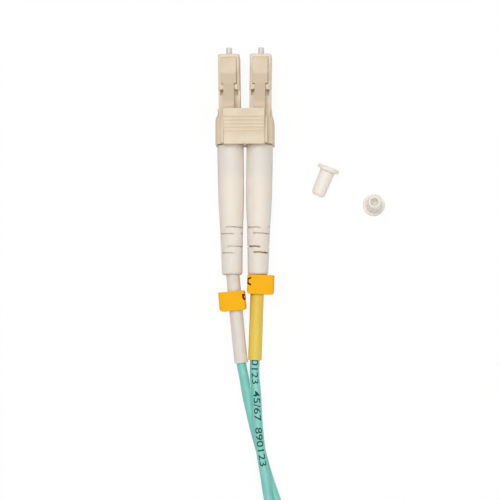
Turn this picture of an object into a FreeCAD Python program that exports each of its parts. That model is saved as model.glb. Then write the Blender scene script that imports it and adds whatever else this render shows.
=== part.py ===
import FreeCAD, Part
import Sketcher
import math
import os
from FreeCAD import Placement, Rotation, Vector

# Duplex fibre patch cord: two latched plugs held side by side by a clip with a thumb trigger,
# long boots, sleeves with sliding polarity markers, a twin cord wound into a coil, and the same
# set of plugs on its far end. Two ferrule caps lie beside the near end.
#
# Frame in millimetres: the origin is the centre of the near clip's underside, +Z is up from the
# table, +Y points along the plugs towards the ferrule tips, +X is to the right of the pair.
# Sizes that are positions along a plug are counted along +Y from the clip's middle.

doc = FreeCAD.newDocument("patch_cord")
sheet = doc.addObject("Spreadsheet::Sheet", "Sizes")

DRIVING_SIZES = [
    ("pitch", 6.25, "from one ferrule to the other at the clip"),
    ("splay", 0.85, "degrees that each plug leans outwards in the clip"),
    ("axis_height", 3.0, "ferrule axis above the table"),
    ("running_gap", 0.03, "radial gap of a piece that turns or slides in another"),
    ("seat_gap", 0.05, "gap between pieces that are assembled face to face"),
    ("ferrule_radius", 0.6245, "ceramic pin"),
    ("ferrule_length", 6.5, "ceramic pin"),
    ("ferrule_chamfer", 0.15, "polished tip"),
    ("tip_reach", 16.95, "ferrule tip ahead of the clip's middle"),
    ("ferrule_reach", 1.65, "ferrule tip ahead of the housing"),
    ("housing_width", 4.5, "square front shell, width and height"),
    ("housing_length", 11.1, "square front shell"),
    ("housing_corner", 0.5, "rounding of the shell's long edges"),
    ("chamber_width", 3.0, "square chamber for the spring, behind the stop"),
    ("mouth_radius", 1.5, "round opening around the ferrule"),
    ("mouth_depth", 2.6, "from the shell's front to the stop for the holder"),
    ("stop_radius", 0.95, "hole through the stop"),
    ("stop_thickness", 0.5, "stop for the holder"),
    ("back_step_length", 3.7, "lowered rear part of the shell's top"),
    ("back_step_depth", 0.45, "lowered rear part of the shell's top"),
    ("pocket_length", 1.1, "moulding pocket behind the step"),
    ("pocket_width", 0.75, "moulding pocket behind the step"),
    ("pocket_depth", 0.45, "moulding pocket behind the step"),
    ("flange_flats", 2.5, "hexagonal flange of the ferrule holder, across flats"),
    ("flange_length", 1.5, "hexagonal flange of the ferrule holder"),
    ("holder_radius", 0.75, "holder's tube inside the spring"),
    ("holder_length", 8.2, "holder, flange and tube"),
    ("buffer_radius", 0.45, "buffered fibre"),
    ("buffer_gap", 0.9, "from the ferrule back to the buffered fibre, for the ferrule's travel"),
    ("spring_radius", 1.1, "ferrule spring, middle of the wire"),
    ("spring_wire", 0.28, "ferrule spring, side of its square wire"),
    ("spring_turns", 3.5, "ferrule spring"),
    ("rear_width", 4.4, "square rear body inside the clip"),
    ("spigot_length", 1.4, "square front end of the rear body, inside the shell"),
    ("tube_bore_radius", 0.85, "bore that the holder's tube moves in"),
    ("neck_radius", 1.45, "crimp neck behind the rear body"),
    ("neck_length", 3.7, "crimp neck behind the rear body"),
    ("crimp_wall", 0.3, "stepped crimp ring, at the middle of its flats"),
    ("crimp_neck_start", 0.4, "ring starts this far behind the rear body"),
    ("crimp_tail", 2.5, "narrow part of the ring, on the cable"),
    ("latch_root", 14.1, "hinge line at the latch's root"),
    ("latch_root_rise", 2.35, "hinge line above the ferrule axis"),
    ("latch_heel_radius", 0.45, "rounded root of the latch"),
    ("latch_width", 3.07, "latch between its locking shoulders"),
    ("latch_beam_width", 2.2, "latch behind its locking shoulders"),
    ("latch_thickness", 0.55, "latch arm"),
    ("latch_crest", 10.75, "highest line of the wide part"),
    ("latch_crest_rise", 3.75, "highest line of the wide part, above the axis"),
    ("latch_shoulder", 8.8, "rear faces of the locking shoulders"),
    ("latch_shoulder_rise", 3.7, "top of the shoulders at their rear faces"),
    ("latch_knee", 4.7, "where the arm levels out under the trigger"),
    ("latch_knee_rise", 4.72, "top of the arm at that place"),
    ("latch_tip", 2.1, "rear end of the arm"),
    ("latch_tip_rise", 4.4, "top of the arm's rear end"),
    ("clip_width", 12.2, "duplex clip"),
    ("clip_length", 7.4, "duplex clip"),
    ("clip_height", 5.75, "duplex clip's side walls above the table"),
    ("clip_floor", 0.7, "duplex clip"),
    ("clip_channel", 4.6, "channel that a rear body snaps into"),
    ("clip_channel_top", 5.3, "underside of the lips over the rear bodies"),
    ("clip_mouth", 3.4, "gap between the lips"),
    ("clip_shoulder", 0.9, "rounding of the clip's outer top edges"),
    ("clip_nose_length", 0.95, "narrowed front of the clip"),
    ("clip_nose_slant", 1.4, "from the narrowed front back to the full width"),
    ("clip_nose_depth", 0.5, "narrowed front of the clip, each side"),
    ("bar_length", 1.5, "bar across the clip's rear top"),
    ("bar_height", 0.55, "bar above the side walls"),
    ("trigger_width", 8.5, "thumb trigger"),
    ("trigger_front", 3.25, "front edge of the trigger"),
    ("trigger_front_rise", 6.0, "top of the front edge above the ferrule axis"),
    ("trigger_rear_rise", 4.35, "top of the rear edge above the ferrule axis"),
    ("trigger_thickness", 0.85, "thumb plate"),
    ("trigger_root", -3.15, "hinge line at the trigger's root"),
    ("trigger_root_rise", 3.4, "hinge line above the ferrule axis"),
    ("trigger_heel_radius", 0.42, "rounded root of the trigger"),
    ("rib_depth", 0.14, "steps across the thumb plate"),
    ("rib_first", 1.35, "front step"),
    ("rib_spacing", 0.75, "from one step to the next"),
    ("rib_width", 0.3, "groove in front of each step"),
    ("boot_radius", 2.75, "boot's front"),
    ("boot_shoulder_radius", 2.7, "where the taper starts"),
    ("boot_waist_radius", 2.4, "at the first flex slot"),
    ("boot_tail_radius", 2.15, "boot's rear"),
    ("boot_length", 27.0, "boot"),
    ("boot_shoulder", 10.7, "from the boot's front to the taper"),
    ("boot_waist", 17.2, "from the boot's front to the first flex slot"),
    ("boot_end_round", 0.5, "eased rear rim"),
    ("boot_slack", 0.25, "boot's bores around the sleeve and the crimp ring"),
    ("slot_width", 0.36, "flex slot"),
    ("slot_pair", 1.3, "between the two rows of a pair"),
    ("slot_step", 4.0, "from one pair of rows to the next"),
    ("slot_overlap", 10.0, "degrees that a slot runs past a quarter turn at each end"),
    ("sleeve_radius", 1.4, "loose sleeve over the cable"),
    ("sleeve_bore", 1.07, "loose sleeve over the cable"),
    ("sleeve_grip", 7.3, "length of sleeve inside the boot"),
    ("marker_inner", 2.0, "marker from its bore to the side facing the other marker"),
    ("marker_outer", 3.5, "marker from its bore to its outer side"),
    ("marker_half_height", 2.1, "marker above and below its bore"),
    ("marker_length", 4.4, "marker along the sleeve"),
    ("marker_slack", 0.1, "marker's hole around the sleeve"),
    ("marker_corner", 0.6, "rounding of the marker"),
    ("leg_radius", 1.0, "single cable"),
    ("cord_width", 4.1, "the two joined cables, side by side"),
    ("cord_thickness", 2.0, "the two joined cables"),
    ("coil_radius", 25.85, "middle of the coil's outer turn"),
    ("coil_turn_step", 2.47, "from one turn to the next, sideways"),
    ("coil_layer_step", 4.6, "from one layer to the next, upwards"),
    ("coil_turns", 5.5, "turns in all, in two layers"),
    ("coil_dip", 0.8, "how far the climbing half turn leans inwards"),
    ("cap_radius", 1.45, "ferrule cap"),
    ("cap_length", 6.4, "ferrule cap"),
    ("cap_flange_radius", 2.3, "ferrule cap"),
    ("cap_flange", 0.8, "ferrule cap"),
    ("cap_bore", 0.65, "ferrule cap's blind hole"),
    ("cap_bore_depth", 5.2, "ferrule cap's blind hole"),
    ("cap_lead_in", 0.22, "chamfers at the cap's mouth"),
]


class Size:
    """A length with the formula that gives it, so that a constraint can be bound to it."""

    def __init__(self, text, value):
        self.text = text
        self.value = value

    def join(self, sign, other, value):
        text = other.text if isinstance(other, Size) else repr(float(other))
        return Size(f"({self.text} {sign} {text})", value)

    def __add__(self, other):
        return self.join("+", other, self.value + float(other))

    def __sub__(self, other):
        return self.join("-", other, self.value - float(other))

    def __mul__(self, other):
        return self.join("*", other, self.value * float(other))

    def __truediv__(self, other):
        return self.join("/", other, self.value / float(other))

    def __neg__(self):
        return Size(f"(0 - {self.text})", -self.value)

    def __float__(self):
        return self.value


class Sizes:
    """The sheet's cells by name."""


for row, (alias, value, note) in enumerate(DRIVING_SIZES, start=1):
    sheet.set(f"A{row}", note)
    sheet.set(f"B{row}", str(value))
    sheet.setAlias(f"B{row}", alias)
    setattr(Sizes, alias, Size(f"Sizes.{alias}", value))
doc.recompute()

# Places along a plug that several pieces share
housing_front = Sizes.tip_reach - Sizes.ferrule_reach
housing_rear = housing_front - Sizes.housing_length
flange_front = housing_front - Sizes.mouth_depth - Sizes.stop_thickness - Sizes.seat_gap
flange_rear = flange_front - Sizes.flange_length
ferrule_rear = Sizes.tip_reach - Sizes.ferrule_length
rear_body_front = housing_rear - Sizes.seat_gap
spigot_front = rear_body_front + Sizes.spigot_length
clip_front = Sizes.clip_length / 2
clip_rear = -(Sizes.clip_length / 2)
neck_front = clip_rear + Sizes.seat_gap
neck_rear = neck_front - Sizes.neck_length
crimp_front = neck_front - Sizes.crimp_neck_start
crimp_step = neck_rear - Sizes.crimp_wall
crimp_rear = neck_rear - Sizes.crimp_tail
boot_front = clip_rear - Sizes.seat_gap
boot_rear = boot_front - Sizes.boot_length
sleeve_front = boot_rear + Sizes.sleeve_grip

SMALL_BORE_SIDES = 8
CORD_SIDES = 8
BOOT_SIDES = 16

parts = []


def named(thing, label):
    thing.Label = label
    parts.append(thing)
    return thing


# Sketches and features


def outline(owner, role, name, points, height=0):
    """A closed polygon in one of the body's origin planes, each corner bound to the sheet."""
    sketch = owner.newObject("Sketcher::SketchObject", name)
    plane = next(f for f in owner.Origin.OriginFeatures if f.Role == role)
    sketch.AttachmentSupport = [(plane, "")]
    sketch.MapMode = "FlatFace"
    sketch.AttachmentOffset = Placement(Vector(0, 0, float(height)), Rotation())
    if isinstance(height, Size):
        sketch.setExpression("AttachmentOffset.Base.z", height.text)
    corners = [Vector(float(x), float(y), 0) for x, y in points]
    count = len(corners)
    for i in range(count):
        sketch.addGeometry(Part.LineSegment(corners[i], corners[(i + 1) % count]), False)
    for i in range(count):
        sketch.addConstraint(Sketcher.Constraint("Coincident", i, 2, (i + 1) % count, 1))
    for i, (x, y) in enumerate(points):
        pin(sketch, "DistanceX", i, x, -2)
        pin(sketch, "DistanceY", i, y, -1)
    return sketch


def pin(sketch, kind, corner, place, axis):
    """Holds one corner at its distance from the sketch's origin."""
    if float(place) == 0:
        sketch.addConstraint(Sketcher.Constraint("PointOnObject", corner, 1, axis))
        return
    index = sketch.addConstraint(Sketcher.Constraint(kind, -1, 1, corner, 1, float(place)))
    if isinstance(place, Size):
        sketch.setExpression(f"Constraints[{index}]", place.text)


def circle(owner, role, name, x, y, radius, height=0):
    """A circle in one of the body's origin planes, bound to the sheet."""
    sketch = owner.newObject("Sketcher::SketchObject", name)
    plane = next(f for f in owner.Origin.OriginFeatures if f.Role == role)
    sketch.AttachmentSupport = [(plane, "")]
    sketch.MapMode = "FlatFace"
    sketch.AttachmentOffset = Placement(Vector(0, 0, float(height)), Rotation())
    if isinstance(height, Size):
        sketch.setExpression("AttachmentOffset.Base.z", height.text)
    centre = Vector(float(x), float(y), 0)
    sketch.addGeometry(Part.Circle(centre, Vector(0, 0, 1), float(radius)), False)
    for kind, place, axis in (("DistanceX", x, -2), ("DistanceY", y, -1)):
        if float(place) == 0:
            sketch.addConstraint(Sketcher.Constraint("PointOnObject", 0, 3, axis))
            continue
        index = sketch.addConstraint(Sketcher.Constraint(kind, -1, 1, 0, 3, float(place)))
        if isinstance(place, Size):
            sketch.setExpression(f"Constraints[{index}]", place.text)
    index = sketch.addConstraint(Sketcher.Constraint("Radius", 0, float(radius)))
    if isinstance(radius, Size):
        sketch.setExpression(f"Constraints[{index}]", radius.text)
    return sketch


def swing(owner, name, kind, points):
    """Revolves an outline of (radius, place along Y) corners about the Y axis."""
    feature = owner.newObject(kind, name)
    sketch = outline(owner, "XY_Plane", f"{name}_outline", points)
    feature.Profile = sketch
    feature.ReferenceAxis = (sketch, ["V_Axis"])
    feature.Angle = 360
    return feature


def extrude(owner, name, kind, sketch, length):
    """Pads or pockets a sketch to both sides of its plane."""
    feature = owner.newObject(kind, name)
    feature.Profile = sketch
    feature.Midplane = True
    feature.Length = float(length)
    if isinstance(length, Size):
        feature.setExpression("Length", length.text)
    return feature


def flats(count, radius):
    """Corners of a regular polygon with a flat on top, each a formula of its radius."""
    turns = [2 * math.pi * (i + 0.5) / count for i in range(count)]
    return [(radius * math.sin(a), radius * math.cos(a)) for a in turns]


def around(count, inner_radius):
    """The corner radius of a regular polygon that clears a circle."""
    return inner_radius / math.cos(math.pi / count)


def prism(owner, name, kind, points, front, rear):
    """Pads or pockets an outline across the plug from one place along it to another."""
    sketch = outline(owner, "XZ_Plane", f"{name}_outline", points, -((front + rear) / 2))
    return extrude(owner, name, kind, sketch, front - rear)


def lengthwise_edges(shape, reach):
    """Straight edges along Y that lie at least this far from the axis, by name."""
    found = []
    for i, edge in enumerate(shape.Edges, start=1):
        ends = [v.Point for v in edge.Vertexes]
        if len(ends) != 2 or edge.Curve.TypeId != "Part::GeomLine":
            continue
        along = ends[1] - ends[0]
        if abs(along.y) > 0.99 * along.Length and abs(ends[0].x) >= reach:
            found.append(f"Edge{i}")
    return found


def rounded(owner, name, base, edges, radius):
    fillet = owner.newObject("PartDesign::Fillet", name)
    fillet.Base = (base, edges)
    fillet.Radius = float(radius)
    if isinstance(radius, Size):
        fillet.setExpression("Radius", radius.text)
    return fillet


def new_body(name):
    return doc.addObject("PartDesign::Body", name)


# Pieces of one plug, each in the plug's own frame with the ferrule's axis along Y


def make_ferrule(name):
    owner = new_body(name)
    radius, tip = Sizes.ferrule_radius, Sizes.tip_reach
    swing(owner, f"{name}_pin", "PartDesign::Revolution", [
        (0, ferrule_rear),
        (radius, ferrule_rear),
        (radius, tip - Sizes.ferrule_chamfer),
        (radius - Sizes.ferrule_chamfer, tip),
        (0, tip),
    ])
    return named(owner, name)


def make_ferrule_holder(name):
    """Hexagonal flange with a tube behind it; the ferrule is pressed into its front."""
    owner = new_body(name)
    hexagon = flats(6, around(6, Sizes.flange_flats / 2))
    prism(owner, f"{name}_flange", "PartDesign::Pad", hexagon, flange_front, flange_rear)
    tube_rear = flange_front - Sizes.holder_length
    prism(owner, f"{name}_tube", "PartDesign::Pad",
          flats(SMALL_BORE_SIDES, Sizes.holder_radius), flange_front, tube_rear)
    swing(owner, f"{name}_grip", "PartDesign::Groove", [
        (0, ferrule_rear),
        (Sizes.ferrule_radius, ferrule_rear),
        (Sizes.ferrule_radius, flange_front + 1),
        (0, flange_front + 1),
    ])
    bore = around(SMALL_BORE_SIDES, Sizes.buffer_radius + Sizes.running_gap)
    prism(owner, f"{name}_bore", "PartDesign::Pocket", flats(SMALL_BORE_SIDES, bore),
          ferrule_rear + 0.1, tube_rear - 1)
    return named(owner, name)


def make_buffered_fibre(name):
    owner = new_body(name)
    prism(owner, f"{name}_buffer", "PartDesign::Pad", flats(SMALL_BORE_SIDES, Sizes.buffer_radius),
          ferrule_rear - Sizes.buffer_gap, neck_rear)
    return named(owner, name)


def make_plug_housing(name):
    """Square shell: stepped top, round mouth, square chamber, seat for the latch's root."""
    owner = new_body(name)
    half = Sizes.housing_width / 2
    step = housing_rear + Sizes.back_step_length
    low_top = half - Sizes.back_step_depth
    side = outline(owner, "YZ_Plane", f"{name}_side", [
        (housing_rear, -half), (housing_front, -half), (housing_front, half),
        (housing_rear, half),
    ])
    shell = extrude(owner, f"{name}_shell", "PartDesign::Pad", side, Sizes.housing_width)
    doc.recompute()
    edges = lengthwise_edges(shell.Shape, float(half) * 0.9)
    rounded(owner, f"{name}_edges", shell, edges, Sizes.housing_corner)
    lowered = outline(owner, "YZ_Plane", f"{name}_step_side", [
        (housing_rear - 1, low_top), (step, low_top), (step, half + 1),
        (housing_rear - 1, half + 1),
    ])
    extrude(owner, f"{name}_step", "PartDesign::Pocket", lowered, Sizes.housing_width + 1)
    mouth_end = housing_front - Sizes.mouth_depth
    chamber_front = mouth_end - Sizes.stop_thickness
    swing(owner, f"{name}_mouth", "PartDesign::Groove", [
        (0, mouth_end),
        (Sizes.mouth_radius, mouth_end),
        (Sizes.mouth_radius, housing_front + 1),
        (0, housing_front + 1),
    ])
    swing(owner, f"{name}_stop", "PartDesign::Groove", [
        (0, chamber_front - 1),
        (Sizes.stop_radius, chamber_front - 1),
        (Sizes.stop_radius, mouth_end + 1),
        (0, mouth_end + 1),
    ])
    chamber = flats(4, around(4, Sizes.chamber_width / 2))
    prism(owner, f"{name}_chamber", "PartDesign::Pocket", chamber, chamber_front,
          housing_rear - 1)
    for side_name, sign in (("left", -1), ("right", 1)):
        inner = (Sizes.latch_beam_width / 2 + 0.05) * sign
        outer = (Sizes.latch_beam_width / 2 + 0.05 + Sizes.pocket_width) * sign
        floor = low_top - Sizes.pocket_depth
        corners = [(inner, floor), (outer, floor), (outer, half + 1), (inner, half + 1)]
        pocket_middle = -(step - Sizes.pocket_length / 2)
        sketch = outline(owner, "XZ_Plane", f"{name}_{side_name}_well", corners, pocket_middle)
        extrude(owner, f"{name}_{side_name}_pocket", "PartDesign::Pocket", sketch,
                Sizes.pocket_length)
    seat = circle(owner, "YZ_Plane", f"{name}_seat", Sizes.latch_root, Sizes.latch_root_rise,
                  Sizes.latch_heel_radius + Sizes.running_gap)
    extrude(owner, f"{name}_latch_seat", "PartDesign::Pocket", seat,
            Sizes.latch_width + Sizes.running_gap * 4)
    return named(owner, name)


def make_latch(name):
    """Arm that rises rearwards from a rounded root, wide as far as its locking shoulders."""
    owner = new_body(name)
    root, rise, heel = Sizes.latch_root, Sizes.latch_root_rise, Sizes.latch_heel_radius
    thick = Sizes.latch_thickness
    narrow = outline(owner, "YZ_Plane", f"{name}_arm_side", [
        (root, rise),
        (root + heel / 2, rise + heel * 0.86),
        (Sizes.latch_shoulder, Sizes.latch_shoulder_rise + 0.1),
        (Sizes.latch_knee, Sizes.latch_knee_rise),
        (Sizes.latch_knee - 0.9, Sizes.latch_knee_rise),
        (Sizes.latch_tip, Sizes.latch_tip_rise),
        (Sizes.latch_tip, Sizes.latch_tip_rise - thick * 0.7),
        (Sizes.latch_knee - 0.9, Sizes.latch_knee_rise - thick),
        (Sizes.latch_knee, Sizes.latch_knee_rise - thick),
        (Sizes.latch_shoulder, Sizes.latch_shoulder_rise - thick),
    ])
    extrude(owner, f"{name}_arm", "PartDesign::Pad", narrow, Sizes.latch_beam_width)
    wide = outline(owner, "YZ_Plane", f"{name}_shoulder_side", [
        (root, rise),
        (root + heel / 2, rise + heel * 0.86),
        (Sizes.latch_crest, Sizes.latch_crest_rise),
        (Sizes.latch_shoulder, Sizes.latch_shoulder_rise),
        (Sizes.latch_shoulder, Sizes.latch_shoulder_rise - thick * 1.6),
    ])
    extrude(owner, f"{name}_shoulders", "PartDesign::Pad", wide, Sizes.latch_width)
    round_root = circle(owner, "YZ_Plane", f"{name}_root_side", root, rise, heel)
    extrude(owner, f"{name}_root", "PartDesign::Pad", round_root, Sizes.latch_width)
    return named(owner, name)


def make_rear_body(name):
    """Square block in the clip, with a spigot in the shell and a neck for the crimp ring."""
    owner = new_body(name)
    block = flats(4, around(4, Sizes.rear_width / 2))
    prism(owner, f"{name}_block", "PartDesign::Pad", block, rear_body_front, neck_front)
    spigot = flats(4, around(4, Sizes.chamber_width / 2 - Sizes.running_gap))
    prism(owner, f"{name}_spigot", "PartDesign::Pad", spigot, spigot_front, neck_front)
    swing(owner, f"{name}_neck", "PartDesign::Revolution", [
        (0, neck_rear),
        (Sizes.neck_radius, neck_rear),
        (Sizes.neck_radius, rear_body_front - 1),
        (0, rear_body_front - 1),
    ])
    bore = around(SMALL_BORE_SIDES, Sizes.tube_bore_radius)
    prism(owner, f"{name}_bore", "PartDesign::Pocket", flats(SMALL_BORE_SIDES, bore),
          spigot_front + 1, neck_rear - 1)
    return named(owner, name)


def make_crimp_ring(name):
    """Ring crimped to six flats, wide on the neck and narrow on the cable."""
    owner = new_body(name)
    wide = flats(6, around(6, Sizes.neck_radius + Sizes.crimp_wall))
    prism(owner, f"{name}_wide", "PartDesign::Pad", wide, crimp_front, crimp_step)
    narrow = flats(6, around(6, Sizes.leg_radius + Sizes.crimp_wall))
    prism(owner, f"{name}_narrow", "PartDesign::Pad", narrow, crimp_front, crimp_rear)
    prism(owner, f"{name}_neck_bore", "PartDesign::Pocket",
          flats(6, around(6, Sizes.neck_radius)), crimp_front + 1, neck_rear - Sizes.seat_gap)
    prism(owner, f"{name}_cable_bore", "PartDesign::Pocket",
          flats(6, around(6, Sizes.leg_radius)), crimp_front + 1, crimp_rear - 1)
    return named(owner, name)


def make_boot(name, first_side):
    """Tapered strain relief; slots in four rows leave bridges on alternate sides."""
    owner = new_body(name)
    stations = [
        (Sizes.boot_radius, boot_front),
        (Sizes.boot_shoulder_radius, boot_front - Sizes.boot_shoulder),
        (Sizes.boot_waist_radius, boot_front - Sizes.boot_waist),
        (Sizes.boot_tail_radius, boot_rear + Sizes.boot_end_round),
        (Sizes.boot_tail_radius - Sizes.boot_end_round / 2, boot_rear),
    ]
    rings = [outline(owner, "XZ_Plane", f"{name}_ring_{i}", flats(BOOT_SIDES, radius), -place)
             for i, (radius, place) in enumerate(stations)]
    body = owner.newObject("PartDesign::AdditiveLoft", f"{name}_body")
    body.Profile = rings[0]
    body.Sections = rings[1:]
    body.Ruled = True
    sleeve_bore = Sizes.sleeve_radius + Sizes.boot_slack
    ring_bore = Sizes.neck_radius + Sizes.crimp_wall + Sizes.boot_slack
    prism(owner, f"{name}_sleeve_bore", "PartDesign::Pocket",
          flats(BOOT_SIDES, around(BOOT_SIDES, sleeve_bore)), boot_front + 1, boot_rear - 1)
    prism(owner, f"{name}_ring_bore", "PartDesign::Pocket", flats(6, around(6, ring_bore)),
          boot_front + 1, crimp_step - Sizes.boot_slack)
    first_row = boot_front - Sizes.boot_waist - Sizes.slot_width / 2
    inner = sleeve_bore / 2
    outer = Sizes.boot_radius + 1
    start, end = -Sizes.slot_overlap.value, 90 + Sizes.slot_overlap.value
    wedge = [(start, inner), (start, outer), (45, outer * 1.4), (end, outer), (end, inner)]
    for pair in range(2):
        for row in range(2):
            place = first_row - Sizes.slot_step * pair - Sizes.slot_pair * row
            side = first_side if row == 0 else -first_side
            for turned, label in ((1, "top"), (-1, "bottom")):
                corners = [(radius * (math.cos(math.radians(angle)) * side * turned),
                            radius * (math.sin(math.radians(angle)) * turned))
                           for angle, radius in wedge]
                prism(owner, f"{name}_{label}_slot_{pair}{row}", "PartDesign::Pocket", corners,
                      place + Sizes.slot_width / 2, place - Sizes.slot_width / 2)
    return named(owner, name)


def make_marker(name, outward):
    """Moulded block with a hole for the sleeve nearer to one side, rounded all along."""
    owner = new_body(name)
    half = Sizes.marker_half_height
    inner = -(Sizes.marker_inner * outward)
    outer = Sizes.marker_outer * outward
    corners = [(inner, -half), (outer, -half), (outer, half), (inner, half)]
    sketch = outline(owner, "XZ_Plane", f"{name}_end", corners)
    block = extrude(owner, f"{name}_block", "PartDesign::Pad", sketch, Sizes.marker_length)
    doc.recompute()
    edges = lengthwise_edges(block.Shape, 0.5)
    rounded(owner, f"{name}_edges", block, edges, Sizes.marker_corner)
    hole = circle(owner, "XZ_Plane", f"{name}_hole", 0, 0,
                  Sizes.sleeve_radius + Sizes.marker_slack)
    extrude(owner, f"{name}_bore", "PartDesign::Pocket", hole, Sizes.marker_length + 1)
    return named(owner, name)


# Pieces of the duplex clip


def make_clip_body(name):
    """Floor with three walls; lips hold the two rear bodies; a bar carries the trigger."""
    owner = new_body(name)
    half = Sizes.clip_width / 2
    near = (Sizes.pitch - Sizes.clip_channel) / 2
    far = (Sizes.pitch + Sizes.clip_channel) / 2
    lip_near = (Sizes.pitch - Sizes.clip_mouth) / 2
    lip_far = (Sizes.pitch + Sizes.clip_mouth) / 2
    top, under, floor = Sizes.clip_height, Sizes.clip_channel_top, Sizes.clip_floor
    right_side = [(half, 0), (half, top), (lip_far, top), (lip_far, under), (far, under),
                  (far, floor), (near, floor), (near, under), (lip_near, under),
                  (lip_near, top)]
    left_side = [(-x, z) for x, z in reversed(right_side)]
    section = outline(owner, "XZ_Plane", f"{name}_section", right_side + left_side)
    walls = extrude(owner, f"{name}_walls", "PartDesign::Pad", section, Sizes.clip_length)
    doc.recompute()
    outer_tops = []
    for i, edge in enumerate(walls.Shape.Edges, start=1):
        box = edge.BoundBox
        along = box.YLength > float(Sizes.clip_length) * 0.9
        if along and box.ZMin > float(top) - 0.01 and abs(box.XMin) > float(half) - 0.01:
            outer_tops.append(f"Edge{i}")
    rounded(owner, f"{name}_top_edges", walls, outer_tops, Sizes.clip_shoulder)
    for side, sign in (("left", -1), ("right", 1)):
        nose = clip_front - Sizes.clip_nose_length
        corner = outline(owner, "XY_Plane", f"{name}_{side}_nose", [
            ((half - Sizes.clip_nose_depth) * sign, clip_front + 0.1),
            ((half - Sizes.clip_nose_depth) * sign, nose),
            (half * sign, nose - Sizes.clip_nose_slant),
            ((half + 1) * sign, nose - Sizes.clip_nose_slant),
            ((half + 1) * sign, clip_front + 0.1),
        ])
        extrude(owner, f"{name}_{side}_relief", "PartDesign::Pocket", corner,
                Sizes.clip_height * 3)
    bar_width = Sizes.trigger_width
    bar_bottom = Sizes.clip_channel_top
    bar = outline(owner, "YZ_Plane", f"{name}_bar_side", [
        (clip_rear, bar_bottom),
        (clip_rear + Sizes.bar_length, bar_bottom),
        (clip_rear + Sizes.bar_length, top + Sizes.bar_height),
        (clip_rear, top + Sizes.bar_height),
    ])
    extrude(owner, f"{name}_bar", "PartDesign::Pad", bar, bar_width)
    seat = circle(owner, "YZ_Plane", f"{name}_seat", Sizes.trigger_root,
                  Sizes.trigger_root_rise + Sizes.axis_height,
                  Sizes.trigger_heel_radius + Sizes.running_gap)
    extrude(owner, f"{name}_trigger_seat", "PartDesign::Pocket", seat, bar_width + 1)
    return named(owner, name)


def make_clip_trigger(name):
    """Thumb plate that rises forwards from its rounded root, stepped across its top."""
    owner = new_body(name)
    lift = Sizes.axis_height
    root, root_rise = Sizes.trigger_root, Sizes.trigger_root_rise + lift
    front, front_rise = Sizes.trigger_front, Sizes.trigger_front_rise + lift
    rear_rise = Sizes.trigger_rear_rise + lift
    slope = (front_rise - rear_rise) / (front - clip_rear).value
    top = [(clip_rear, rear_rise)]
    for step in reversed(range(5)):
        edge = Sizes.rib_first - Sizes.rib_spacing * step
        height = rear_rise + slope * (edge - clip_rear).value
        top.append((edge - Sizes.rib_width, height - Sizes.rib_depth * 0.4))
        top.append((edge - Sizes.rib_width, height - Sizes.rib_depth * 1.4))
        top.append((edge, height))
    top.append((front, front_rise))
    thick = Sizes.trigger_thickness
    bottom = [
        (front, front_rise - thick),
        (root + 1.4, rear_rise + slope * (root + 1.4 - clip_rear).value - thick),
        (root, root_rise),
        (clip_rear, root_rise + Sizes.trigger_heel_radius),
    ]
    side = outline(owner, "YZ_Plane", f"{name}_side", top + bottom)
    extrude(owner, f"{name}_plate", "PartDesign::Pad", side, Sizes.trigger_width)
    round_root = circle(owner, "YZ_Plane", f"{name}_root_side", root, root_rise,
                        Sizes.trigger_heel_radius)
    extrude(owner, f"{name}_root", "PartDesign::Pad", round_root, Sizes.trigger_width)
    return named(owner, name)


def make_dust_cap(name):
    """Ferrule cap: blind tube with a grip flange at its closed end, mouth towards +Z."""
    owner = new_body(name)
    length, bore = Sizes.cap_length, Sizes.cap_bore
    sketch = outline(owner, "XZ_Plane", f"{name}_outline", [
        (0, 0),
        (Sizes.cap_flange_radius, 0),
        (Sizes.cap_flange_radius, Sizes.cap_flange),
        (Sizes.cap_radius, Sizes.cap_flange),
        (Sizes.cap_radius, length - Sizes.cap_lead_in),
        (Sizes.cap_radius - Sizes.cap_lead_in, length),
        (bore + Sizes.cap_lead_in, length),
        (bore, length - Sizes.cap_lead_in * 2),
        (bore, length - Sizes.cap_bore_depth),
        (0, length - Sizes.cap_bore_depth),
    ])
    turned = owner.newObject("PartDesign::Revolution", f"{name}_turned")
    turned.Profile = sketch
    turned.ReferenceAxis = (sketch, ["V_Axis"])
    turned.Angle = 360
    return named(owner, name)


# Paths of straight runs, arcs and wound turns


def arc_through(start, apex, end):
    """The arc that leaves start towards apex and reaches end from apex, both equally far."""
    middle = (start + end) / 2
    half_chord = (end - start).Length / 2
    rise = (apex - middle).Length
    sine = rise / math.hypot(rise, half_chord)
    sagitta = half_chord * sine / (1 + math.sqrt(1 - sine * sine))
    if rise < 1e-6:
        return Part.LineSegment(start, end).toShape()
    return Part.Arc(start, middle + (apex - middle) * (sagitta / rise), end).toShape()


def rounded_path(points):
    """Straight runs joined by tangent arcs as large as their runs allow, and their radii."""
    edges, radii, here = [], [], points[0]
    for before, corner, after in zip(points, points[1:], points[2:]):
        into, out = corner - before, after - corner
        half_turn = into.getAngle(out) / 2
        setback = 0.45 * min(into.Length, out.Length)
        start = corner - into.normalize() * setback
        end = corner + out.normalize() * setback
        edges.append(Part.LineSegment(here, start).toShape())
        edges.append(arc_through(start, corner, end))
        radii.append(setback / math.tan(half_turn))
        here = end
    edges.append(Part.LineSegment(here, points[-1]).toShape())
    return Part.Wire(edges), radii


def biarc(start, start_way, end, end_way):
    """Two tangent arcs from one point and direction to another point and direction."""
    chord, ways = end - start, start_way + end_way
    turn = 2 * (1 - start_way.dot(end_way))
    reach = chord.dot(ways)
    handle = (math.sqrt(reach * reach + turn * chord.dot(chord)) - reach) / turn
    first, second = start + start_way * handle, end - end_way * handle
    middle = (first + second) / 2
    return [arc_through(start, first, middle), arc_through(middle, second, end)]


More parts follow.
